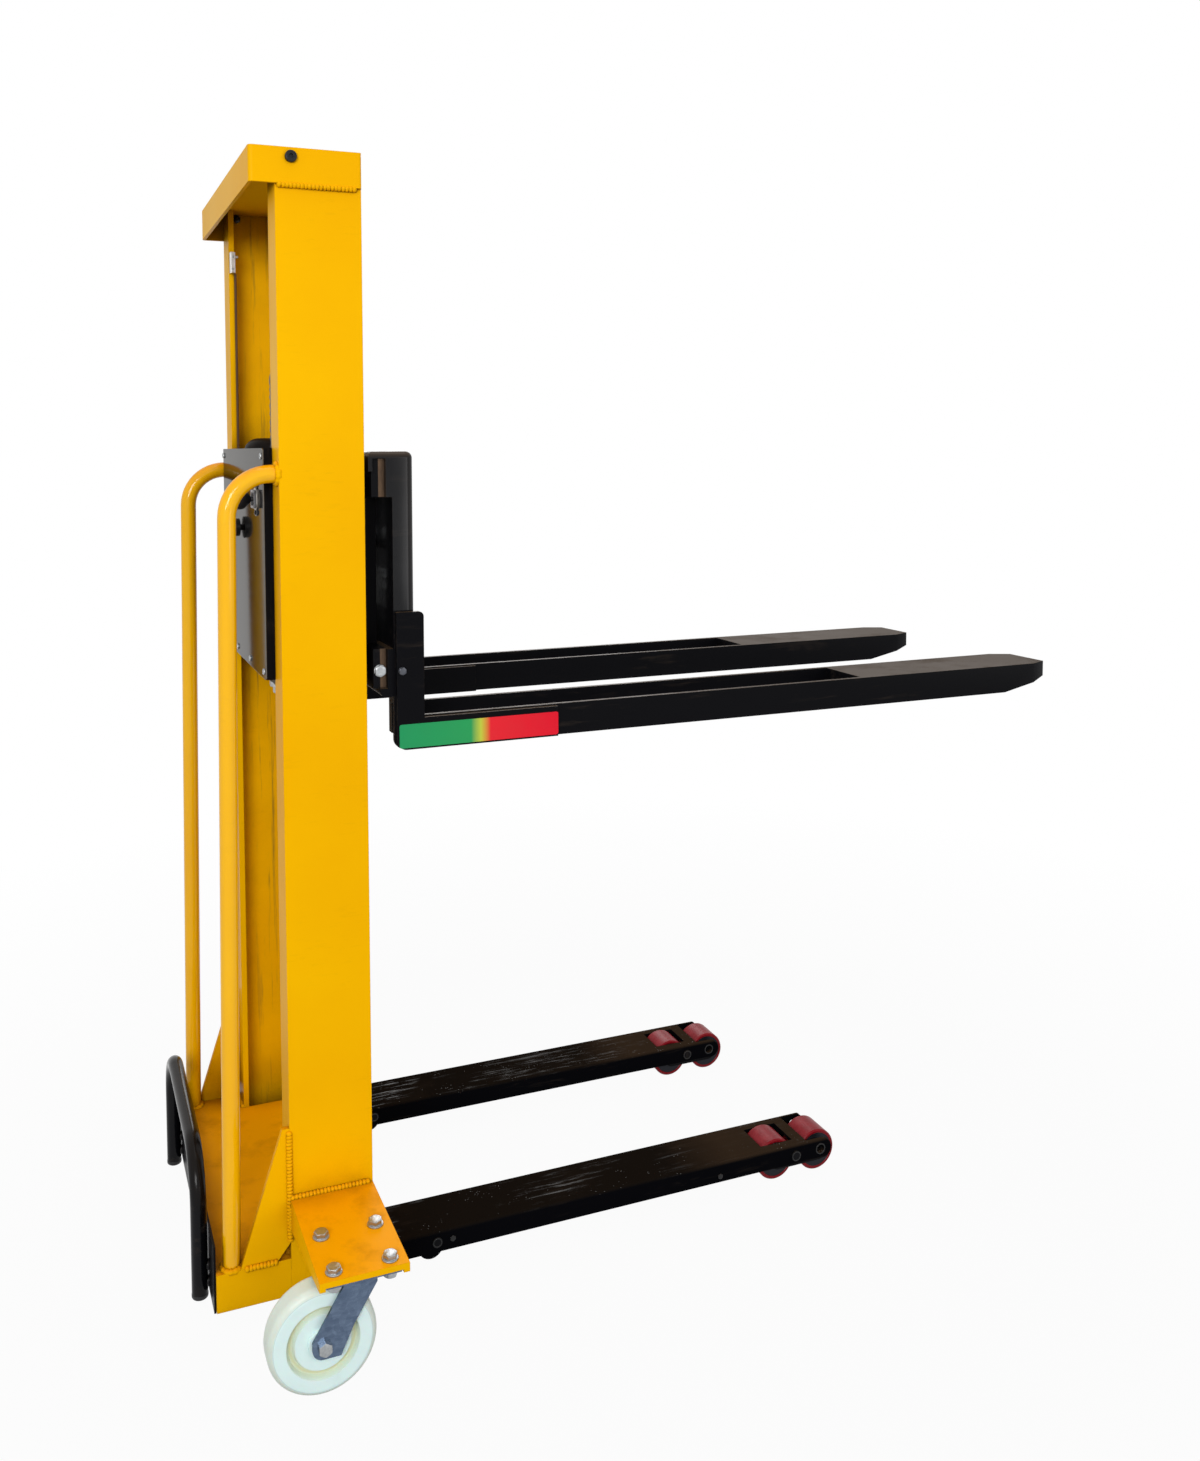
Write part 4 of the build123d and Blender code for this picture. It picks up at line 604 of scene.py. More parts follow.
def makeLever():
    material, tree, shader, coords = newMaterial("leverGrip")
    peel = useGroup(tree, orangePeel, coords, Scale=520.0)
    isShaft = maths(tree, "GREATER_THAN", axes(tree, coords)[0], leverTones["shaftFrom"] + shiftX)
    grip = mixColours(tree, times(tree, peel["Tone"], 0.4), leverTones["grip"], leverTones["worn"])
    colourWith(tree, shader, mixColours(tree, isShaft, grip, leverTones["shaft"]))
    roughen(tree, shader, peel["Tone"], 0.2, 0.24)
    shader.inputs["Specular IOR Level"].default_value = 0.16
    bumpInto(tree, shader, peel["Height"], 0.15, 0.0004, 0.0008)
    return material


def radiusFrom(tree, coords, x, z):
    # distance from a line along Y through x, z
    spot = axes(tree, coords)
    dx = maths(tree, "SUBTRACT", spot[0], x)
    dz = maths(tree, "SUBTRACT", spot[2], z)
    return maths(tree, "SQRT", maths(tree, "ADD", times(tree, dx, dx), times(tree, dz, dz)))


casterNylon = dict(
    colour=linear(230, 250, 248), shade=linear(214, 238, 236), groove=linear(206, 200, 140),
    tread=linear(206, 210, 192), line=linear(120, 122, 112), grooveInner=0.037, grooveOuter=0.048,
    grooveSoft=1.3, grooveShare=0.8, lineAt=0.0648, lineHalf=0.0006, lineSoft=0.0004, lineShare=0.35,
    treadAt=0.0655, z=0.072,
)


def makeNylon(name, x):
    material, tree, shader, coords = newMaterial(name)
    radius = radiusFrom(tree, coords, x + shiftX, casterNylon["z"])
    mid = (casterNylon["grooveInner"] + casterNylon["grooveOuter"]) / 2
    half = (casterNylon["grooveOuter"] - casterNylon["grooveInner"]) / 2
    off = maths(tree, "ABSOLUTE", maths(tree, "SUBTRACT", radius, mid))
    off = maths(tree, "DIVIDE", off, half * casterNylon["grooveSoft"])
    ring = maths(tree, "SUBTRACT", 1.0, off, clamp=True)
    cloud = noise(tree, coords, 30.0, 4.0)
    colour = mixColours(tree, cloud, casterNylon["colour"], casterNylon["shade"])
    colour = mixColours(tree, times(tree, ring, casterNylon["grooveShare"]), colour, casterNylon["groove"])
    worn = maths(tree, "GREATER_THAN", radius, casterNylon["treadAt"])
    dirt = times(tree, worn, maths(tree, "MULTIPLY_ADD", noise(tree, coords, 90.0, 5.0, 0.7), 0.5, 0.4))
    colour = mixColours(tree, dirt, colour, casterNylon["tread"])
    inner, outer = (casterNylon["lineAt"] + way * casterNylon["lineHalf"] for way in sides)
    edge = between(tree, radius, inner, outer, casterNylon["lineSoft"])
    colour = mixColours(tree, times(tree, edge, casterNylon["lineShare"]), colour, casterNylon["line"])
    colourWith(tree, shader, colour)
    roughen(tree, shader, cloud, 0.2, 0.3)
    setInputs(shader, **{"Subsurface Weight": 0.1, "Subsurface Scale": 0.004})
    bumpInto(tree, shader, cloud, 0.05, 0.0008, 0.001)
    return material


loadRoller = dict(
    tread=linear(122, 10, 22), pale=linear(150, 46, 52), hub=linear(34, 35, 40),
    seam=0.0283, rim=0.0325, z=0.034, paleShare=0.6, hubMetal=0.5, shine=0.14,
)


def makeRoller(name, x):
    material, tree, shader, coords = newMaterial(name)
    radius = radiusFrom(tree, coords, x + shiftX, loadRoller["z"])
    isTread = maths(tree, "GREATER_THAN", radius, loadRoller["seam"])
    cloud = noise(tree, coords, 60.0, 5.0, 0.65)
    worn = fadeIn(tree, cloud, 0.42, 0.7)
    rim = times(tree, maths(tree, "GREATER_THAN", radius, loadRoller["rim"]), loadRoller["paleShare"])
    red = mixColours(tree, times(tree, worn, rim), loadRoller["tread"], loadRoller["pale"])
    colourWith(tree, shader, mixColours(tree, isTread, loadRoller["hub"], red))
    roughen(tree, shader, cloud, 0.25, 0.24)
    isHub = maths(tree, "SUBTRACT", 1.0, isTread)
    tree.links.new(times(tree, isHub, loadRoller["hubMetal"]), shader.inputs["Metallic"])
    shader.inputs["Specular IOR Level"].default_value = loadRoller["shine"]
    bumpInto(tree, shader, cloud, 0.12, 0.0006, 0.0008)
    return material


collarTones = dict(metal=linear(168, 164, 158), plastic=linear(16, 16, 18))


def makeCollar():
    # bright ring on the lever's side of the panel, black one round the knob
    material, tree, shader, coords = newMaterial("controlCollars")
    cloud = noise(tree, coords, 220.0, 3.0)
    isMetal = maths(tree, "LESS_THAN", axes(tree, coords)[1], 0.0)
    colourWith(tree, shader, mixColours(tree, isMetal, collarTones["plastic"], collarTones["metal"]))
    tree.links.new(isMetal, shader.inputs["Metallic"])
    roughen(tree, shader, cloud, 0.2, 0.22)
    bumpInto(tree, shader, cloud, 0.08, 0.0004, 0.0008)
    return material


stripTones = dict(
    low=0.045, high=0.288, haze=linear(90, 90, 80), hazeShare=0.1, shine=0.06,
    stops=(
        (0.0, linear(36, 150, 92)), (0.44, linear(44, 158, 90)), (0.5, linear(196, 205, 70)),
        (0.56, linear(232, 40, 52)), (1.0, linear(228, 22, 46)),
    ),
)


def makeStrip():
    material, tree, shader, coords = newMaterial("colourStrip")
    along = maths(tree, "SUBTRACT", axes(tree, coords)[0], stripTones["low"] + shiftX)
    along = maths(tree, "DIVIDE", along, stripTones["high"] - stripTones["low"], clamp=True)
    colour = ramp(tree, along, *stripTones["stops"])
    haze = noise(tree, coords, 45.0, 4.0)
    share = times(tree, haze, stripTones["hazeShare"])
    colourWith(tree, shader, mixColours(tree, share, colour, stripTones["haze"]))
    roughen(tree, shader, haze, 0.25, 0.22)
    shader.inputs["Specular IOR Level"].default_value = stripTones["shine"]
    bumpInto(tree, shader, haze, 0.04, 0.0004)
    return material


metals = dict(
    zinc=("zincPlate", (138, 156, 180), (60, 75, 98), 0.22, (40.0, 40.0, 160.0), dict(spangle=0.5)),
    bolt=("brightZinc", (206, 208, 208), (126, 130, 134), 0.38, (300.0, 300.0, 300.0), {}),
    stainless=("brushedStainless", (132, 127, 120), (98, 93, 86), 0.07, (8.0, 8.0, 900.0),
               dict(edge=0.42, spread=0.06)),
    dullSteel=("dullSteel", (108, 110, 116), (54, 56, 62), 0.34, (200.0, 200.0, 200.0), {}),
    steel=("machinedSteel", (140, 140, 142), (76, 76, 80), 0.32, (200.0, 200.0, 200.0), {}),
    chrome=("hardChrome", (214, 216, 220), (188, 190, 196), 0.13, (30.0, 30.0, 4.0), {}),
    aluminium=("castAluminium", (172, 172, 170), (130, 130, 128), 0.5, (150.0, 150.0, 150.0), {}),
    switchAlloy=("switchAlloy", (232, 232, 230), (196, 196, 194), 0.34, (150.0, 150.0, 150.0), {}),
)

look = {
    "yellow": makeYellow("yellowPaint"),
    "mastYellow": makeYellow("mastYellow", oily=True),
    "handleYellow": makeYellow("handleYellow", lacquer=0.55),
    "black": makeBlack("blackPaint", 0.35, 0.36, (60.0, 60.0, 5.0)),
    "gloss": makeBlack("glossBlack", 0.2, 0.16, (60.0, 5.0, 60.0), 0.12),
    "legBlack": makeBlack("legBlack", 0.12, 0.34, (5.0, 90.0, 60.0), 0.0, 0.5, wet=0.5),
    "forkBlack": makeBlack("forkBlack", 0.6, 0.4, (6.0, 90.0, 60.0), 0.04, glossyShank=True,
                           film="brownFilm"),
    "oxide": makeBlack("blackOxide", 0.2, 0.32, (60.0, 60.0, 60.0), 0.3),
    "bar": makeBar(),
    "plastic": makePlastic("blackPlastic", linear(22, 22, 24), linear(48, 48, 50), 0.42),
    "cable": makePlastic("cableRubber", linear(74, 48, 20), linear(104, 70, 30), 0.55),
    "lever": makeLever(),
    "collar": makeCollar(),
    "strip": makeStrip(),
}
for key, (name, light, dark, gloss, stretch, more) in metals.items():
    look[key] = makeMetal(name, linear(*light), linear(*dark), gloss, stretch, **more)
for name, x in casterX.items():
    look["nylon" + name.title()] = makeNylon("nylon" + name.title(), x / 1000)
for name, x in rollerX.items():
    look["roller" + name.title()] = makeRoller("roller" + name.title(), x / 1000)

# a name that ends in an underscore stands for the right and the left node
nodeLooks = {
    "mastYellow": ["mast_channel_"],
    "yellow": ["mast_head_cap", "base_frame", "base_gussets", "caster_bracket_"],
    "handleYellow": ["handle_"],
    "black": ["base_rear_plate", "panel_tray", "unit_frame", "lift_cylinder", "cylinder_gland",
              "pump_motor", "crosshead", "bogie_", "carriage_frame", "leg_pins"],
    "gloss": ["foot_bar"],
    "oxide": ["foot_bar_bolts", "cap_screws", "hydraulic_pipe"],
    "bar": ["carriage_upper_bar", "carriage_lower_bar"],
    "legBlack": ["leg_"],
    "forkBlack": ["fork_"],
    "zinc": ["caster_plates", "caster_yoke_"],
    "bolt": ["bracket_bolts", "carriage_bolts", "caster_axle_"],
    "stainless": ["control_panel", "panel_screws"],
    "collar": ["control_collars"],
    "steel": ["mast_roller_lower_", "mast_roller_upper_", "chain_sheaves", "front_chain_runs",
              "rear_chain_runs"],
    "chrome": ["lift_ram"],
    "aluminium": ["pump_unit"],
    "switchAlloy": ["limit_switch"],
    "plastic": ["push_knob", "battery"],
    "lever": ["control_lever"],
    "cable": ["switch_cable"],
    "nylonRight": ["caster_wheel_right"],
    "nylonLeft": ["caster_wheel_left"],
    "rollerFront": ["load_roller_front_"],
    "rollerRear": ["load_roller_rear_"],
}


def dressNodes():
    for key, names in nodeLooks.items():
        for name in names:
            for side in sideNames if name.endswith("_") else ("",):
                for slot in frame["nodes"][name + side].material_slots:
                    slot.material = look[key]


dressNodes()
print("materials assigned")


# bolts, nuts and screws

outward = {-1: (math.pi / 2, 0.0, 0.0), 1: (-math.pi / 2, 0.0, 0.0)}  # turns +Z to the right or left side
rearward = (0.0, -math.pi / 2, 0.0)  # turns +Z to the operator


def modelHex(across, height):
    # hexagon standing on z 0, its top corners turned off
    head = newCylinder(across / math.sqrt(3), height, 6, (0.0, 0.0, height / 2))
    top = across * 0.485
    deselectAll()
    bpy.ops.mesh.primitive_cone_add(
        vertices=48, radius1=top + height * math.tan(math.radians(60)), radius2=top, depth=height,
        location=(0.0, 0.0, height / 2),
    )
    return cutWith(head, bpy.context.object, "INTERSECT")


def modelWasher(radius, thick):
    washer = newCylinder(radius, thick, 40, (0.0, 0.0, thick / 2))
    return roundTop(washer, thick * 0.35, 2, thick)


def modelShank(radius, low, high):
    shank = newCylinder(radius, high - low, 20, (0.0, 0.0, (low + high) / 2))
    return bevelEdges(shank, radius * 0.25, 1, lambda spot, way: spot.z < low + 0.0001)


def modelThrough(heads, across, nutHeight, radius, grip, top=0.001):
    # heads on z 0, a nut under the grip and the shank through both
    nut = place(modelHex(across, nutHeight), (0.0, 0.0, -grip), (math.pi, 0.0, 0.0))
    return join([*heads, nut, modelShank(radius, -grip - nutHeight - 0.001, top)])


def modelPanHead(radius, height):
    # domed head with a cross recess
    head = newCylinder(radius, height, 28, (0.0, 0.0, height / 2))
    roundTop(head, height * 0.6, 4, height)
    for size in ((radius * 1.15, radius * 0.28, height), (radius * 0.28, radius * 1.15, height)):
        cutWith(head, newBlock(size, (0.0, 0.0, height)))
    return head


bracketBolts = dict(
    across=0.0168, head=0.006, washer=0.011, thick=0.002, radius=0.006, nut=0.008, grip=0.014, seat=171,
    spots=((-96, 341), (-22, 341), (-96, 417), (-22, 417)), turns=(0.3, 0.9, 0.1, 0.55),
)


def makeBracketBolts():
    size = bracketBolts
    head = place(modelHex(size["across"], size["head"]), (0.0, 0.0, size["thick"]))
    heads = [modelWasher(size["washer"], size["thick"]), head]
    bolt = modelThrough(heads, size["across"], size["nut"], size["radius"], size["grip"], size["thick"])
    places = []
    for side in sides:
        for (x, y), turn in zip(size["spots"], size["turns"]):
            places.append((mm(x, side * y, size["seat"]), (0.0, 0.0, turn)))
    piece = fit(spread(bolt, places), "bracketBolts", "bolt", "chassis")
    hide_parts("bracket_bolts")


carriageBolts = dict(across=0.0158, head=0.005, washer=0.0092, thick=0.0015, z=905,
                     rows=(("carriageBolts", 21.5, 232, 0.95, "bolt", "zinc"),
                           ("doublerBolts", 50, 248, 0.62, "dullSteel", "black_screws")))


def makeCarriageBolts():
    # plated bolts in the bar ends, painted ones on the doublers
    size = carriageBolts
    for name, x, y, part, finish, slotName in size["rows"]:
        head = place(modelHex(size["across"], size["head"]), (0.0, 0.0, size["thick"]))
        bolt = place(join([modelWasher(size["washer"], size["thick"]), head]), scale=(part, part, part))
        places = [(mm(x, side * y, size["z"]), outward[side]) for side in sides]
        piece = fit(spread(bolt, places), name, finish, "carriage")
        if finish == "bolt":
            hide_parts("carriage_bolts")


# head and nut sides of each axle bolt
casterAxle = dict(
    across=0.0165, head=0.007, nut=0.008, radius=0.006, z=72,
    ends=dict(right=(-414, -360), left=(360, 414)),
)


def makeCasterAxles():
    size = casterAxle
    for name, (headY, nutY) in size["ends"].items():
        length = abs(nutY - headY) / 1000
        head = modelHex(size["across"], size["head"])
        axle = modelThrough([head], size["across"], size["nut"], size["radius"], length)
        place(axle, mm(casterX[name], headY, size["z"]), outward[-1])
        piece = fit(axle, "casterAxle" + name.title(), "bolt", "caster_" + name)
        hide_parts("caster_axle_" + name)


capScrews = dict(
    head=0.008, height=0.0056, socket=0.006, depth=0.003, radius=0.004, nut=0.011, nutHeight=0.0064,
    edge=0.0012, x=-97, z=1606.5, face=247, inside=235,
)


def makeCapScrews():
    size = capScrews
    head = newCylinder(size["head"], size["height"], 36, (0.0, 0.0, size["height"] / 2))
    roundTop(head, size["edge"], 3, size["height"])
    socket = newCylinder(size["socket"] / math.sqrt(3), 2 * size["depth"], 6, (0.0, 0.0, size["height"]))
    cutWith(head, socket)
    wall = (size["face"] - size["inside"]) / 1000
    screw = modelThrough([head], size["nut"], size["nutHeight"], size["radius"], wall)
    places = [(mm(size["x"], side * size["face"], size["z"]), outward[side]) for side in sides]
    piece = fit(spread(screw, places), "capScrews", "oxide", "chassis")
    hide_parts("cap_screws")


panelScrews = dict(radius=0.0045, height=0.0025, face=-132, turn=0.4,
                   spots=((-184, 906), (-61, 906), (61, 906), (184, 906), (-184, 1208), (184, 1208)))


def makePanelScrews():
    size = panelScrews
    screw = modelPanHead(size["radius"], size["height"])
    places = []
    for number, (y, z) in enumerate(size["spots"]):
        tilt = Matrix.Rotation(rearward[1], 3, "Y") @ Matrix.Rotation(size["turn"] + number, 3, "Z")
        places.append((mm(size["face"], y, z), tilt.to_euler()))
    piece = fit(spread(screw, places), "panelScrews", "bolt", "chassis")
    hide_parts("panel_screws")


leverGate = dict(outer=0.026, inner=0.0185, thick=0.0035, corner=0.0025, spot=(-136.8, -140, 1147),
                 plate=(0.0016, 0.014, 0.048), plateX=-132.8, plateCorner=0.004, hole=0.0163,
                 edge=0.0004, cut=0.02, screw=(0.0032, 0.0018), screwUp=0.0195)


def makeLeverGate():
    # square guide round the lever, on a narrow strap with a screw at each end
    size = leverGate
    gate = newBlock((size["thick"], size["outer"], size["outer"]))
    bevelEdges(gate, size["corner"], 4, lambda spot, way: abs(way.x) > 0.9)
    cutWith(gate, newBlock((size["cut"], size["inner"], size["inner"])))
    bevelEdges(gate, size["edge"], 2, lambda spot, way: spot.x < -size["thick"] * 0.49 and abs(way.x) < 0.1)
    strap = newBlock(size["plate"])
    bevelEdges(strap, size["plateCorner"], 4, lambda spot, way: abs(way.x) > 0.9)
    cutWith(strap, place(newCylinder(size["hole"], size["cut"], 48), turn=rearward))
    x, y, z = size["spot"]
    parts = [place(gate, mm(x, y, z)), place(strap, mm(size["plateX"], y, z))]
    fit(join(parts), "leverGate", "steel", "chassis")
    screw = modelPanHead(*size["screw"])
    face = mm(size["plateX"], y, z) - Vector((size["plate"][0] / 2, 0.0, 0.0))
    places = [(face + Vector((0.0, 0.0, rise)), rearward) for rise in (-size["screwUp"], size["screwUp"])]
    fit(spread(screw, places), "gateScrews", "oxide", "chassis")


leverGrip = dict(
    length=0.036, wide=0.0148, middle=(-157.6, -140, 1147), neck=0.85, shaft=0.004, shaftFrom=-124.0,
    trunnion=(-125.5, 0.0022, 0.0083), pinEdge=0.0004,
)


def makeLeverGrip():
    # pear-shaped grip, narrow towards the panel, on its shaft and cross pin
    size = leverGrip
    deselectAll()
    bpy.ops.mesh.primitive_uv_sphere_add(segments=40, ring_count=24, radius=1.0)
    grip = place(bpy.context.object, turn=(0.0, math.pi / 2, 0.0))
    place(grip, scale=(size["length"] / 2, size["wide"], size["wide"]))
    pick(grip, "VERT", lambda spot, normal: spot.x > size["length"] * 0.25)
    bpy.ops.transform.resize(value=(1.0, size["neck"], size["neck"]))
    leaveEdit()
    applyModifier(grip, "SUBSURF", levels=1, render_levels=1)
    x, y, z = size["middle"]
    place(grip, mm(x, y, z))
    rear = (x + size["length"] * 400 - size["shaftFrom"]) / 1000
    shaft = place(modelShank(size["shaft"], rear, 0.0), turn=(0.0, math.pi / 2, 0.0))
    place(shaft, mm(size["shaftFrom"], y, z))
    pinX, pinRadius, pinHalf = size["trunnion"]
    pin = newCylinder(pinRadius, 2 * pinHalf, 20)
    bevelEdges(pin, size["pinEdge"], 1, lambda spot, way: abs(way.z) < 0.1)
    place(pin, mm(pinX, y, z), outward[1])
    piece = fit(join([grip, shaft, pin]), "leverGrip", "lever", "control_lever", 60.0)
    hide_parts("control_lever")


def modelRing(radius, wire, flat=0.75):
    # turned ring lying on z 0, a little flattened
    deselectAll()
    bpy.ops.mesh.primitive_torus_add(
        major_segments=40, minor_segments=10, major_radius=radius, minor_radius=wire,
    )
    ring = bpy.context.object
    pickAll(ring)
    bpy.ops.transform.resize(value=(1.0, 1.0, flat))
    leaveEdit()
    return ring


legRings = dict(
    cheeks=(229.5, 140.5), pivots=((770, 47, 0.0082, 0.0011, 0.0), (722, 45, 0.0072, 0.0009, 1.2)),
    slides=((100, 47, 0.0062, 0.0009, 1.2),), heads=((124, 48), (578, 42)), across=0.008, height=0.0016,
)


def makeLegRings():
    size = legRings
    for rings, name, slotName in (
        (size["pivots"], "legRings", "zinc"),
        (size["slides"], "slideRings", "black_screws"),
    ):
        made = []
        for x, z, radius, wire, proud in rings:
            places = []
            for side in sides:
                for cheek, way in zip(size["cheeks"], (side, -side)):
                    places.append((mm(x, side * cheek + way * proud, z), outward[way]))
            made.append(spread(modelRing(radius, wire), places))
        fit(join(made), name, "oxide", "chassis")
    head = modelHex(size["across"], size["height"])
    places = []
    for side in sides:
        for x, z in size["heads"]:
            places.append((mm(x, side * size["cheeks"][0], z), outward[side]))
    fit(spread(head, places), "legBolts", "oxide", "chassis")


makeBracketBolts()
makeCarriageBolts()
makeCasterAxles()
makeCapScrews()
makePanelScrews()
makeLeverGate()
makeLeverGrip()
makeLegRings()
print("bolts and screws ready")


# weld beads

weldBead = dict(
    pitch=0.005, radius=0.0048, squeeze=(0.8, 1.0, 1.0), shake=0.0008, ringShare=0.85, ringSteps=42,
    ridge=0.001,
)


def weldLine(start, end, seed):
    run = end - start
    count = max(2, round(run.length / weldBead["pitch"]))
    deselectAll()
    bpy.ops.mesh.primitive_uv_sphere_add(segments=12, ring_count=7, radius=weldBead["radius"])
    bead = place(bpy.context.object, scale=weldBead["squeeze"])
    applyModifier(
        bead, "ARRAY", count=count, use_relative_offset=False, use_constant_offset=True,
        constant_offset_displace=(run.length / count, 0.0, 0.0),
    )
    pickAll(bead)
    bpy.ops.transform.vertex_random(offset=weldBead["shake"], seed=seed)
    leaveEdit()
    return place(bead, start, run.to_track_quat("X", "Z").to_euler())


def weldRing(spot, radius, turn, seed):
    steps = weldBead["ringSteps"]
    wire = weldBead["radius"] * weldBead["ringShare"]
    deselectAll()
    bpy.ops.mesh.primitive_torus_add(
        major_segments=steps, minor_segments=8, major_radius=radius, minor_radius=wire,
    )
    ring = bpy.context.object
    pick(ring, "VERT", lambda at, normal: round(math.atan2(at.y, at.x) / (2 * math.pi) * steps) % 3 == 0)
    bpy.ops.transform.shrink_fatten(value=weldBead["ridge"])
    bpy.ops.mesh.select_all(action="SELECT")
    bpy.ops.transform.vertex_random(offset=weldBead["shake"], seed=seed)
    leaveEdit()
    return place(ring, spot, turn)


frameWelds = [
    ((-112, 243.6, 1570.2), (-5, 243.6, 1570.2)),
    ((-115, 243.0, 172.0), (-3, 243.0, 172.0)),
    ((-118.6, 241.6, 112), (-118.6, 241.6, 270)),
    ((-140, 242.0, 84.4), (-184, 242.0, 84.4)),
    ((-118.6, 191, 84.6), (-118.6, 233, 84.6)),
    ((0.6, 191, 84.6), (0.6, 240, 84.6)),
    ((-1.5, 243.0, 130), (-1.5, 243.0, 163)),
    ((-116.5, 243.0, 130), (-116.5, 243.0, 163)),
]
legWelds = [
    ((10.6, 144, 63.4), (10.6, 226, 63.4)),
    ((10.6, 229.8, 35), (10.6, 229.8, 61)),
    ((10.6, 140.2, 35), (10.6, 140.2, 61)),
]
handleRings = [((-198, 227, 84), 0.0132, zero), ((-118, 227, 1184), 0.0132, rearward)]


def makeWelds():
    for lines, name, finish, slotName in (
        (frameWelds, "frameWelds", "yellow", "yellow_paint"),
        (legWelds, "legWelds", "black", "black_paint"),
    ):
        beads = []
        for side in sides:
            for number, (start, end) in enumerate(lines):
                first, last = (mm(x, side * y, z) for x, y, z in (start, end))
                beads.append(weldLine(first, last, 7 * number + side + 2))
            if lines is frameWelds:
                for number, ((x, y, z), radius, turn) in enumerate(handleRings):
                    beads.append(weldRing(mm(x, side * y, z), radius, turn, 60 + number + side))
        fit(join(beads), name, finish, "chassis", 60.0)


makeWelds()
print("welds ready")


# forks with a shortened inner heel

forkHeel = dict(
    rear=38.0, front=64.0, inner=121.0, outer=231.9, low=790.0, high=868.0, merge=0.000005,
)


def makeForks():
    size = forkHeel
    span = [size["front"] - size["rear"], size["outer"] - size["inner"], size["high"] - size["low"]]
    for side, name in zip(sides, sideNames):
        makeActive(frame["nodes"]["fork_" + name])
        bpy.ops.object.duplicate()
        bpy.ops.object.parent_clear(type="CLEAR_KEEP_TRANSFORM")
        fork = bpy.context.object
        bpy.ops.mesh.customdata_custom_splitnormals_clear()
        pickAll(fork)
        bpy.ops.mesh.remove_doubles(threshold=size["merge"])
        leaveEdit()
        middle = mm((size["rear"] + size["front"]) / 2, side * (size["inner"] + size["outer"]) / 2,
                    (size["low"] + size["high"]) / 2)
        cutWith(fork, newBlock([value / 1000 for value in span], middle))
        piece = fit(fork, "fork" + name.title(), "forkBlack", "carriage", 30.0)
        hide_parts("fork_" + name)


makeForks()
print("forks ready")


# colour strip on the right fork's heel

colourStrip = dict(size=(0.243, 0.034), middle=(166.5, -248.1, 811.5), corner=0.003, thick=0.0003)


def makeColourStrip():
    size = colourStrip
    deselectAll()
    bpy.ops.mesh.primitive_plane_add(size=1.0)
    strip = place(bpy.context.object, scale=(*size["size"], 1.0))
    pickAll(strip)
    bpy.ops.mesh.bevel(offset=size["corner"], segments=4, affect="VERTICES")
    leaveEdit()
    applyModifier(strip, "SOLIDIFY", thickness=size["thick"], offset=0.0)
    fit(place(strip, mm(*size["middle"]), outward[-1]), "colourStrip", "strip", "carriage")


makeColourStrip()
print("colour strip ready")


# leaf chains

chainLink = dict(
    height=0.0094, plate=0.0015, outer=(-0.0036, 0.0, 0.0036), inner=(-0.0018, 0.0018), pin=0.0021,
    pinLength=0.009, pinEdge=0.0004, waist=0.78, y=45,
)
rearChain = dict(x=-74, low=862, high=1325, units=18)
frontChain = dict(x=-6, low=1085, high=1325, units=10, wheelX=-40, radius=34, links=8)


def modelLink(pitch, layers):
    # link plates along Z with one pin through their upper end
    height = chainLink["height"]
    plate = newBlock((height, chainLink["plate"], pitch + height))
    bevelEdges(plate, height * 0.48, 5, lambda spot, way: abs(way.y) > 0.9)
    pick(plate, "FACE", lambda spot, normal: True)
    bpy.ops.mesh.bisect(plane_co=zero, plane_no=(0.0, 0.0, 1.0))
    pick(plate, "VERT", lambda spot, normal: abs(spot.z) < 0.00001)
    bpy.ops.transform.resize(value=(chainLink["waist"], 1.0, 1.0))
    leaveEdit()
    plates = spread(plate, [((0.0, y, 0.0), zero) for y in layers])
    pin = newCylinder(chainLink["pin"], chainLink["pinLength"], 12)
    bevelEdges(pin, chainLink["pinEdge"], 1, lambda spot, way: abs(way.z) < 0.1)
    return join([plates, place(pin, (0.0, 0.0, pitch / 2), (math.pi / 2, 0.0, 0.0))])


def modelRun(length, units):
    # straight chain from z 0 upwards
    pitch = length / units / 2
    outer = modelLink(pitch, chainLink["outer"])
    inner = place(modelLink(pitch, chainLink["inner"]), (0.0, 0.0, pitch))
    unit = join([outer, inner])
    applyModifier(
        unit, "ARRAY", count=units, use_relative_offset=False, use_constant_offset=True,
        constant_offset_displace=(0.0, 0.0, 2 * pitch),
    )
    return place(unit, (0.0, 0.0, pitch / 2))


def makeChains():
    both = [((0.0, side * chainLink["y"] / 1000, 0.0), zero) for side in sides]
    rear = modelRun((rearChain["high"] - rearChain["low"]) / 1000, rearChain["units"])
    place(rear, mm(rearChain["x"], 0, rearChain["low"]))
    piece = fit(spread(rear, both), "rearChains", "steel")
    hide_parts("rear_chain_runs")
    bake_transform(piece)

    front = modelRun((frontChain["high"] - frontChain["low"]) / 1000, frontChain["units"])
    parts = [place(front, mm(frontChain["x"], 0, frontChain["low"]))]
    step = math.pi / frontChain["links"]
    radius = frontChain["radius"] / 1000
    wheel = mm(frontChain["wheelX"], 0, frontChain["high"])
    for number in range(frontChain["links"]):
        layers = chainLink["outer"] if number % 2 == 0 else chainLink["inner"]
        link = modelLink(2 * radius * math.sin(step / 2), layers)
        place(link, (radius * math.cos(step / 2), 0.0, 0.0))
        parts.append(place(link, wheel, (0.0, -(number + 0.5) * step, 0.0)))
    piece = fit(spread(join(parts), both), "frontChains", "steel")
    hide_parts("front_chain_runs")
    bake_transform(piece)


chainEnds = dict(
    clevis=(0.013, 0.015, 0.018), across=0.022, nut=0.009, tail=0.020, tailRadius=0.007,
    corner=0.004, edge=0.0008,
    rows=(("carriageChainEnds", frontChain["x"], 1087, 1035, "carriage"),
          ("cylinderChainEnds", rearChain["x"], 870, 850, "chassis")),
)


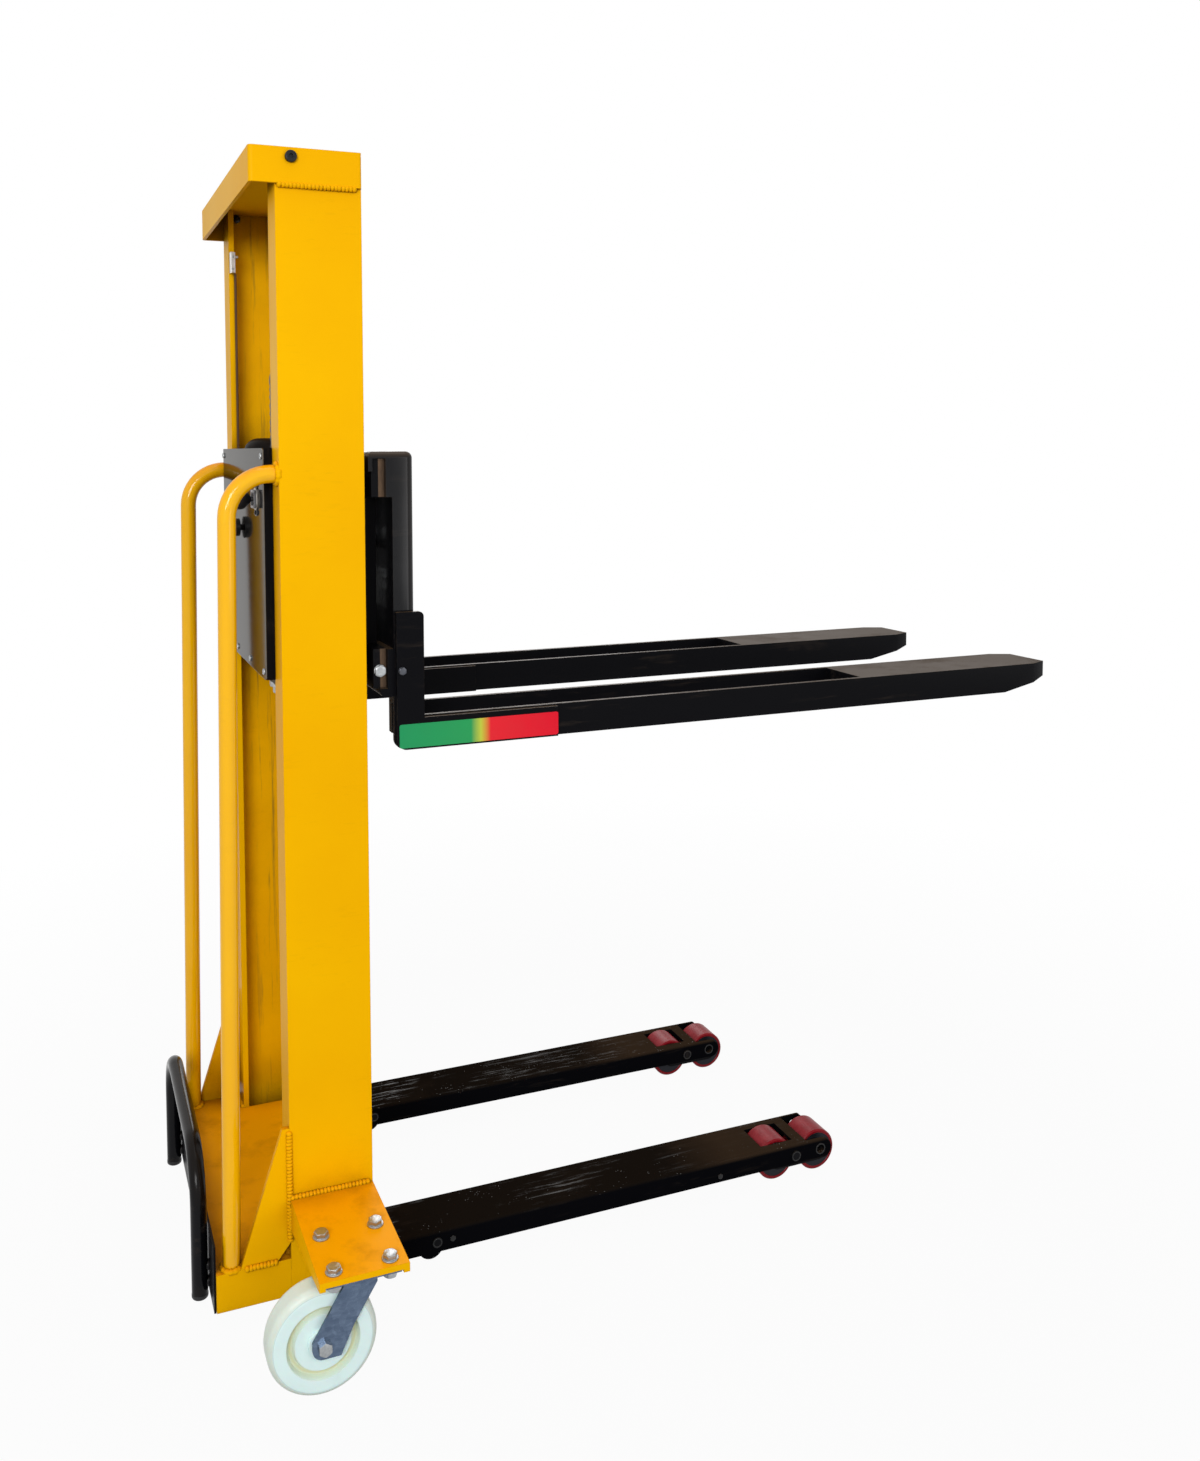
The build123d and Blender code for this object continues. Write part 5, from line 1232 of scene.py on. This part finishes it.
def makeChainEnds():
    size = chainEnds
    clevis = newBlock(size["clevis"])
    bevelEdges(clevis, size["corner"], 4, lambda spot, way: abs(way.y) > 0.9 and spot.z > 0)
    bevelEdges(clevis, size["edge"], 2, lambda spot, way: abs(way.z) > 0.9)
    nut = place(modelHex(size["across"], size["nut"]), turn=(math.pi, 0.0, 0.0))
    tail = modelShank(size["tailRadius"], -size["tail"], 0.0)
    screwEnd = join([nut, tail])
    for name, x, top, under, body in size["rows"]:
        made = []
        for side in sides:
            made.append(copyOf(clevis, mm(x, side * chainLink["y"], top)))
            made.append(copyOf(screwEnd, mm(x, side * chainLink["y"], under)))
        fit(join(made), name, "bolt", body)
    deselectAll()
    clevis.select_set(True)
    screwEnd.select_set(True)
    bpy.ops.object.delete()


makeChains()
makeChainEnds()
print("chains ready")


# fittings on the power unit, switch, foot bar and wheels

powerUnit = dict(
    pipeAcross=0.017, pipeNut=0.014, pipeTop=(-40, 70, 1000), pipePort=(-40, 27.5, 150),
    motor=(-62, 112), motorRadius=0.048, band=0.0009, bandHeight=0.010, bandEdge=0.0005,
    bandsZ=(1068, 1186), terminalsX=47.2, terminalsZ=1150, terminalApart=15, blockScrews=38, blockTop=1050,
    terminal=(0.010, 0.005), stud=(0.003, 0.0, 0.012), blockScrew=(0.010, 0.004), blockTurn=0.2,
)


def makeUnitFittings():
    size = powerUnit
    nuts = []
    for spot, turn in ((size["pipeTop"], (math.pi, 0.0, 0.0)), (size["pipePort"], outward[1])):
        nuts.append(place(modelHex(size["pipeAcross"], size["pipeNut"]), mm(*spot), turn))
    stud = join([modelHex(*size["terminal"]), modelShank(*size["stud"])])
    x, y = size["motor"]
    front = (0.0, math.pi / 2, 0.0)
    places = []
    for side in sides:
        spot = mm(x + size["terminalsX"], y + side * size["terminalApart"], size["terminalsZ"])
        places.append((spot, front))
    nuts.append(spread(stud, places))
    screw = modelHex(*size["blockScrew"])
    reach = size["blockScrews"]
    corners = [mm(x + reach * a, y + reach * b, size["blockTop"]) for a in sides for b in sides]
    nuts.append(spread(screw, [(corner, (0.0, 0.0, size["blockTurn"])) for corner in corners]))
    fit(join(nuts), "unitNuts", "bolt", "chassis")
    radius = size["motorRadius"] + size["band"]
    band = newCylinder(radius, size["bandHeight"], 72)
    bevelEdges(band, size["bandEdge"], 2, lambda spot, way: abs(way.z) < 0.1)
    places = [(mm(x, y, z), zero) for z in size["bandsZ"]]
    fit(spread(band, places), "motorBands", "oxide", "chassis")


batteryCaps = dict(radius=0.008, height=0.005, edge=0.0012, slot=(0.0104, 0.002, 0.004), turn=0.3,
                   top=1079, x=-46, across=(-142, -122, -102, -82))


def makeBatteryCaps():
    size = batteryCaps
    cap = newCylinder(size["radius"], size["height"], 28, (0.0, 0.0, size["height"] / 2))
    roundTop(cap, size["edge"], 3, size["height"])
    cutWith(cap, newBlock(size["slot"], (0.0, 0.0, size["height"])))
    places = []
    for number, y in enumerate(size["across"]):
        places.append((mm(size["x"], y, size["top"]), (0.0, 0.0, size["turn"] * number)))
    fit(spread(cap, places), "batteryCaps", "plastic", "chassis")


switchScrews = dict(radius=0.0021, height=0.0012, x=-113, y=174, up=(1515, 1535))


def makeSwitchScrews():
    size = switchScrews
    screw = modelPanHead(size["radius"], size["height"])
    places = [(mm(size["x"], size["y"], z), outward[-1]) for z in size["up"]]
    fit(spread(screw, places), "switchScrews", "bolt", "chassis")


footPlugs = dict(radius=0.0118, height=0.007, foot=0.003, rim=0.0006, x=-236.5, y=178, z=17)


def makeFootPlugs():
    size = footPlugs
    plug = newCylinder(size["radius"], size["height"], 36, (0.0, 0.0, size["height"] / 2))
    bevelEdges(plug, size["foot"], 4, lambda spot, way: spot.z < 0.0001 and abs(way.z) < 0.1)
    bevelEdges(plug, size["rim"], 2, lambda spot, way: spot.z > size["height"] * 0.99 and abs(way.z) < 0.1)
    places = [(mm(size["x"], side * size["y"], size["z"]), zero) for side in sides]
    fit(spread(plug, places), "footPlugs", "plastic", "chassis")


wheelRings = dict(
    caster=(387, 72, 22.5, 0.0125, 0.0011), roller=(185, 34, 26.4, 0.0105, 0.0009),
    stub=(-59, 218.2, 0.0158, 0.0013), stubZ=(920, 1164),
)


def makeWheelRings():
    size = wheelRings
    for side, name in zip(sides, sideNames):
        y, z, half, radius, wire = size["caster"]
        places = [(mm(casterX[name], side * y + way * half, z), outward[way]) for way in sides]
        rings = spread(modelRing(radius, wire), places)
        fit(rings, "casterRings" + name.title(), "steel", "caster_wheel_" + name)
        y, z, half, radius, wire = size["roller"]
        for end, x in rollerX.items():
            places = [(mm(x, side * y + way * half, z), outward[way]) for way in sides]
            rings = spread(modelRing(radius, wire), places)
            fit(rings, f"{end}RollerRings{name.title()}", "dullSteel", f"load_roller_{end}_{name}")
    x, y, radius, wire = size["stub"]
    places = [(mm(x, side * y, z), outward[side]) for side in sides for z in size["stubZ"]]
    fit(spread(modelRing(radius, wire), places), "stubRings", "steel", "carriage")


makeUnitFittings()
makeBatteryCaps()
makeSwitchScrews()
makeFootPlugs()
makeWheelRings()
print("fittings ready")


# camera, floor and light

cameraView = dict(
    place=(-0.42002 + shiftX, -1.91584, 1.21431), yaw=-0.36767, pitch=-0.05949, roll=-0.00446,
    focal=1236.52, centre=(516.06, 524.10), image=(1200, 1461), sensor=36.0,
)


def makeCamera():
    yaw, pitch, roll = cameraView["yaw"], cameraView["pitch"], cameraView["roll"]
    ahead = Vector((-math.sin(yaw) * math.cos(pitch), math.cos(yaw) * math.cos(pitch), math.sin(pitch)))
    right = Vector((math.cos(yaw), math.sin(yaw), 0.0))
    up = right.cross(ahead)
    turnedRight = math.cos(roll) * right + math.sin(roll) * up
    turnedUp = math.cos(roll) * up - math.sin(roll) * right
    width, height = cameraView["image"]
    data = bpy.data.cameras.new("photoCamera")
    data.sensor_fit = "AUTO"
    data.sensor_width = cameraView["sensor"]
    data.lens = cameraView["focal"] / height * cameraView["sensor"]
    data.shift_x = (width / 2 - cameraView["centre"][0]) / height
    data.shift_y = (cameraView["centre"][1] - height / 2) / height
    data.clip_start = 0.05
    camera = bpy.data.objects.new("photoCamera", data)
    bpy.context.scene.collection.objects.link(camera)
    turn = Matrix((turnedRight, turnedUp, -ahead)).transposed().to_4x4()
    camera.matrix_world = Matrix.Translation(cameraView["place"]) @ turn
    bpy.context.scene.camera = camera


studio = dict(
    floorSize=40.0, floorColour=linear(150, 150, 150), floorWhite=(0.955, 1.0), floorFade=(0.8, 2.2),
    skyColour=(1.0, 1.0, 1.0, 1.0), skyLight=0.67,
    lamps=[
        ("keyLamp", (-2.0, -2.9, 1.9), (-0.5, -0.1, 0.8), (1.2, 1.0), 57.0),
        ("fillLamp", (1.5, -3.6, 1.2), (0.0, 0.0, 0.6), (1.4, 1.4), 15.0),
        ("topLamp", (-0.1, -0.4, 4.5), (-0.1, 0.0, 0.0), (2.0, 2.0), 16.0),
        ("backLamp", (1.2, 4.0, 2.4), (-0.2, 0.0, 0.8), (1.8, 1.8), 40.0),
    ],
)


def isSeenRay(tree):
    path = addNode(tree, "ShaderNodeLightPath")
    seen = maths(tree, "ADD", path.outputs["Is Camera Ray"], path.outputs["Is Glossy Ray"])
    return maths(tree, "ADD", seen, path.outputs["Is Transmission Ray"], clamp=True)


def makeFloor():
    deselectAll()
    bpy.ops.mesh.primitive_plane_add(size=studio["floorSize"])
    floor = bpy.context.object
    floor.name = "studioFloor"
    material = bpy.data.materials.new("paleFloor")
    material.use_nodes = True
    tree = material.node_tree
    tree.nodes.clear()
    output = tree.nodes.new("ShaderNodeOutputMaterial")
    matte = addNode(tree, "ShaderNodeBsdfDiffuse")
    matte.inputs["Color"].default_value = studio["floorColour"]
    white = addNode(tree, "ShaderNodeEmission")
    mix = addNode(tree, "ShaderNodeMixShader")
    # whiter away from the machine, so that the floor has no horizon
    coords = tree.nodes.new("ShaderNodeTexCoord").outputs["Object"]
    length = addNode(tree, "ShaderNodeVectorMath", operation="LENGTH")
    tree.links.new(coords, length.inputs[0])
    near, far = studio["floorFade"]
    away = maths(tree, "SUBTRACT", length.outputs["Value"], near)
    away = maths(tree, "DIVIDE", away, far - near, clamp=True)
    low, high = studio["floorWhite"]
    share = maths(tree, "MULTIPLY_ADD", away, high - low, low)
    tree.links.new(times(tree, isSeenRay(tree), share), mix.inputs[0])
    tree.links.new(matte.outputs[0], mix.inputs[1])
    tree.links.new(white.outputs[0], mix.inputs[2])
    tree.links.new(mix.outputs[0], output.inputs[0])
    floor.data.materials.append(material)


def makeSky():
    world = bpy.data.worlds.new("studioSky")
    bpy.context.scene.world = world
    world.use_nodes = True
    tree = world.node_tree
    tree.nodes.clear()
    output = tree.nodes.new("ShaderNodeOutputWorld")
    sky = addNode(tree, "ShaderNodeBackground")
    sky.inputs["Color"].default_value = studio["skyColour"]
    strength = maths(tree, "MULTIPLY_ADD", isSeenRay(tree), 1.0 - studio["skyLight"], studio["skyLight"])
    tree.links.new(strength, sky.inputs["Strength"])
    tree.links.new(sky.outputs[0], output.inputs[0])


def makeLamps():
    for name, spot, aim, size, power in studio["lamps"]:
        data = bpy.data.lights.new(name, "AREA")
        data.shape = "RECTANGLE"
        data.size, data.size_y = size
        data.energy = power
        lamp = bpy.data.objects.new(name, data)
        lamp.location = spot
        lamp.rotation_euler = (Vector(aim) - Vector(spot)).to_track_quat("-Z", "Y").to_euler()
        bpy.context.scene.collection.objects.link(lamp)


makeCamera()
makeFloor()
makeSky()
makeLamps()
bpy.context.scene.view_settings.view_transform = "Standard"
print("camera and studio ready")
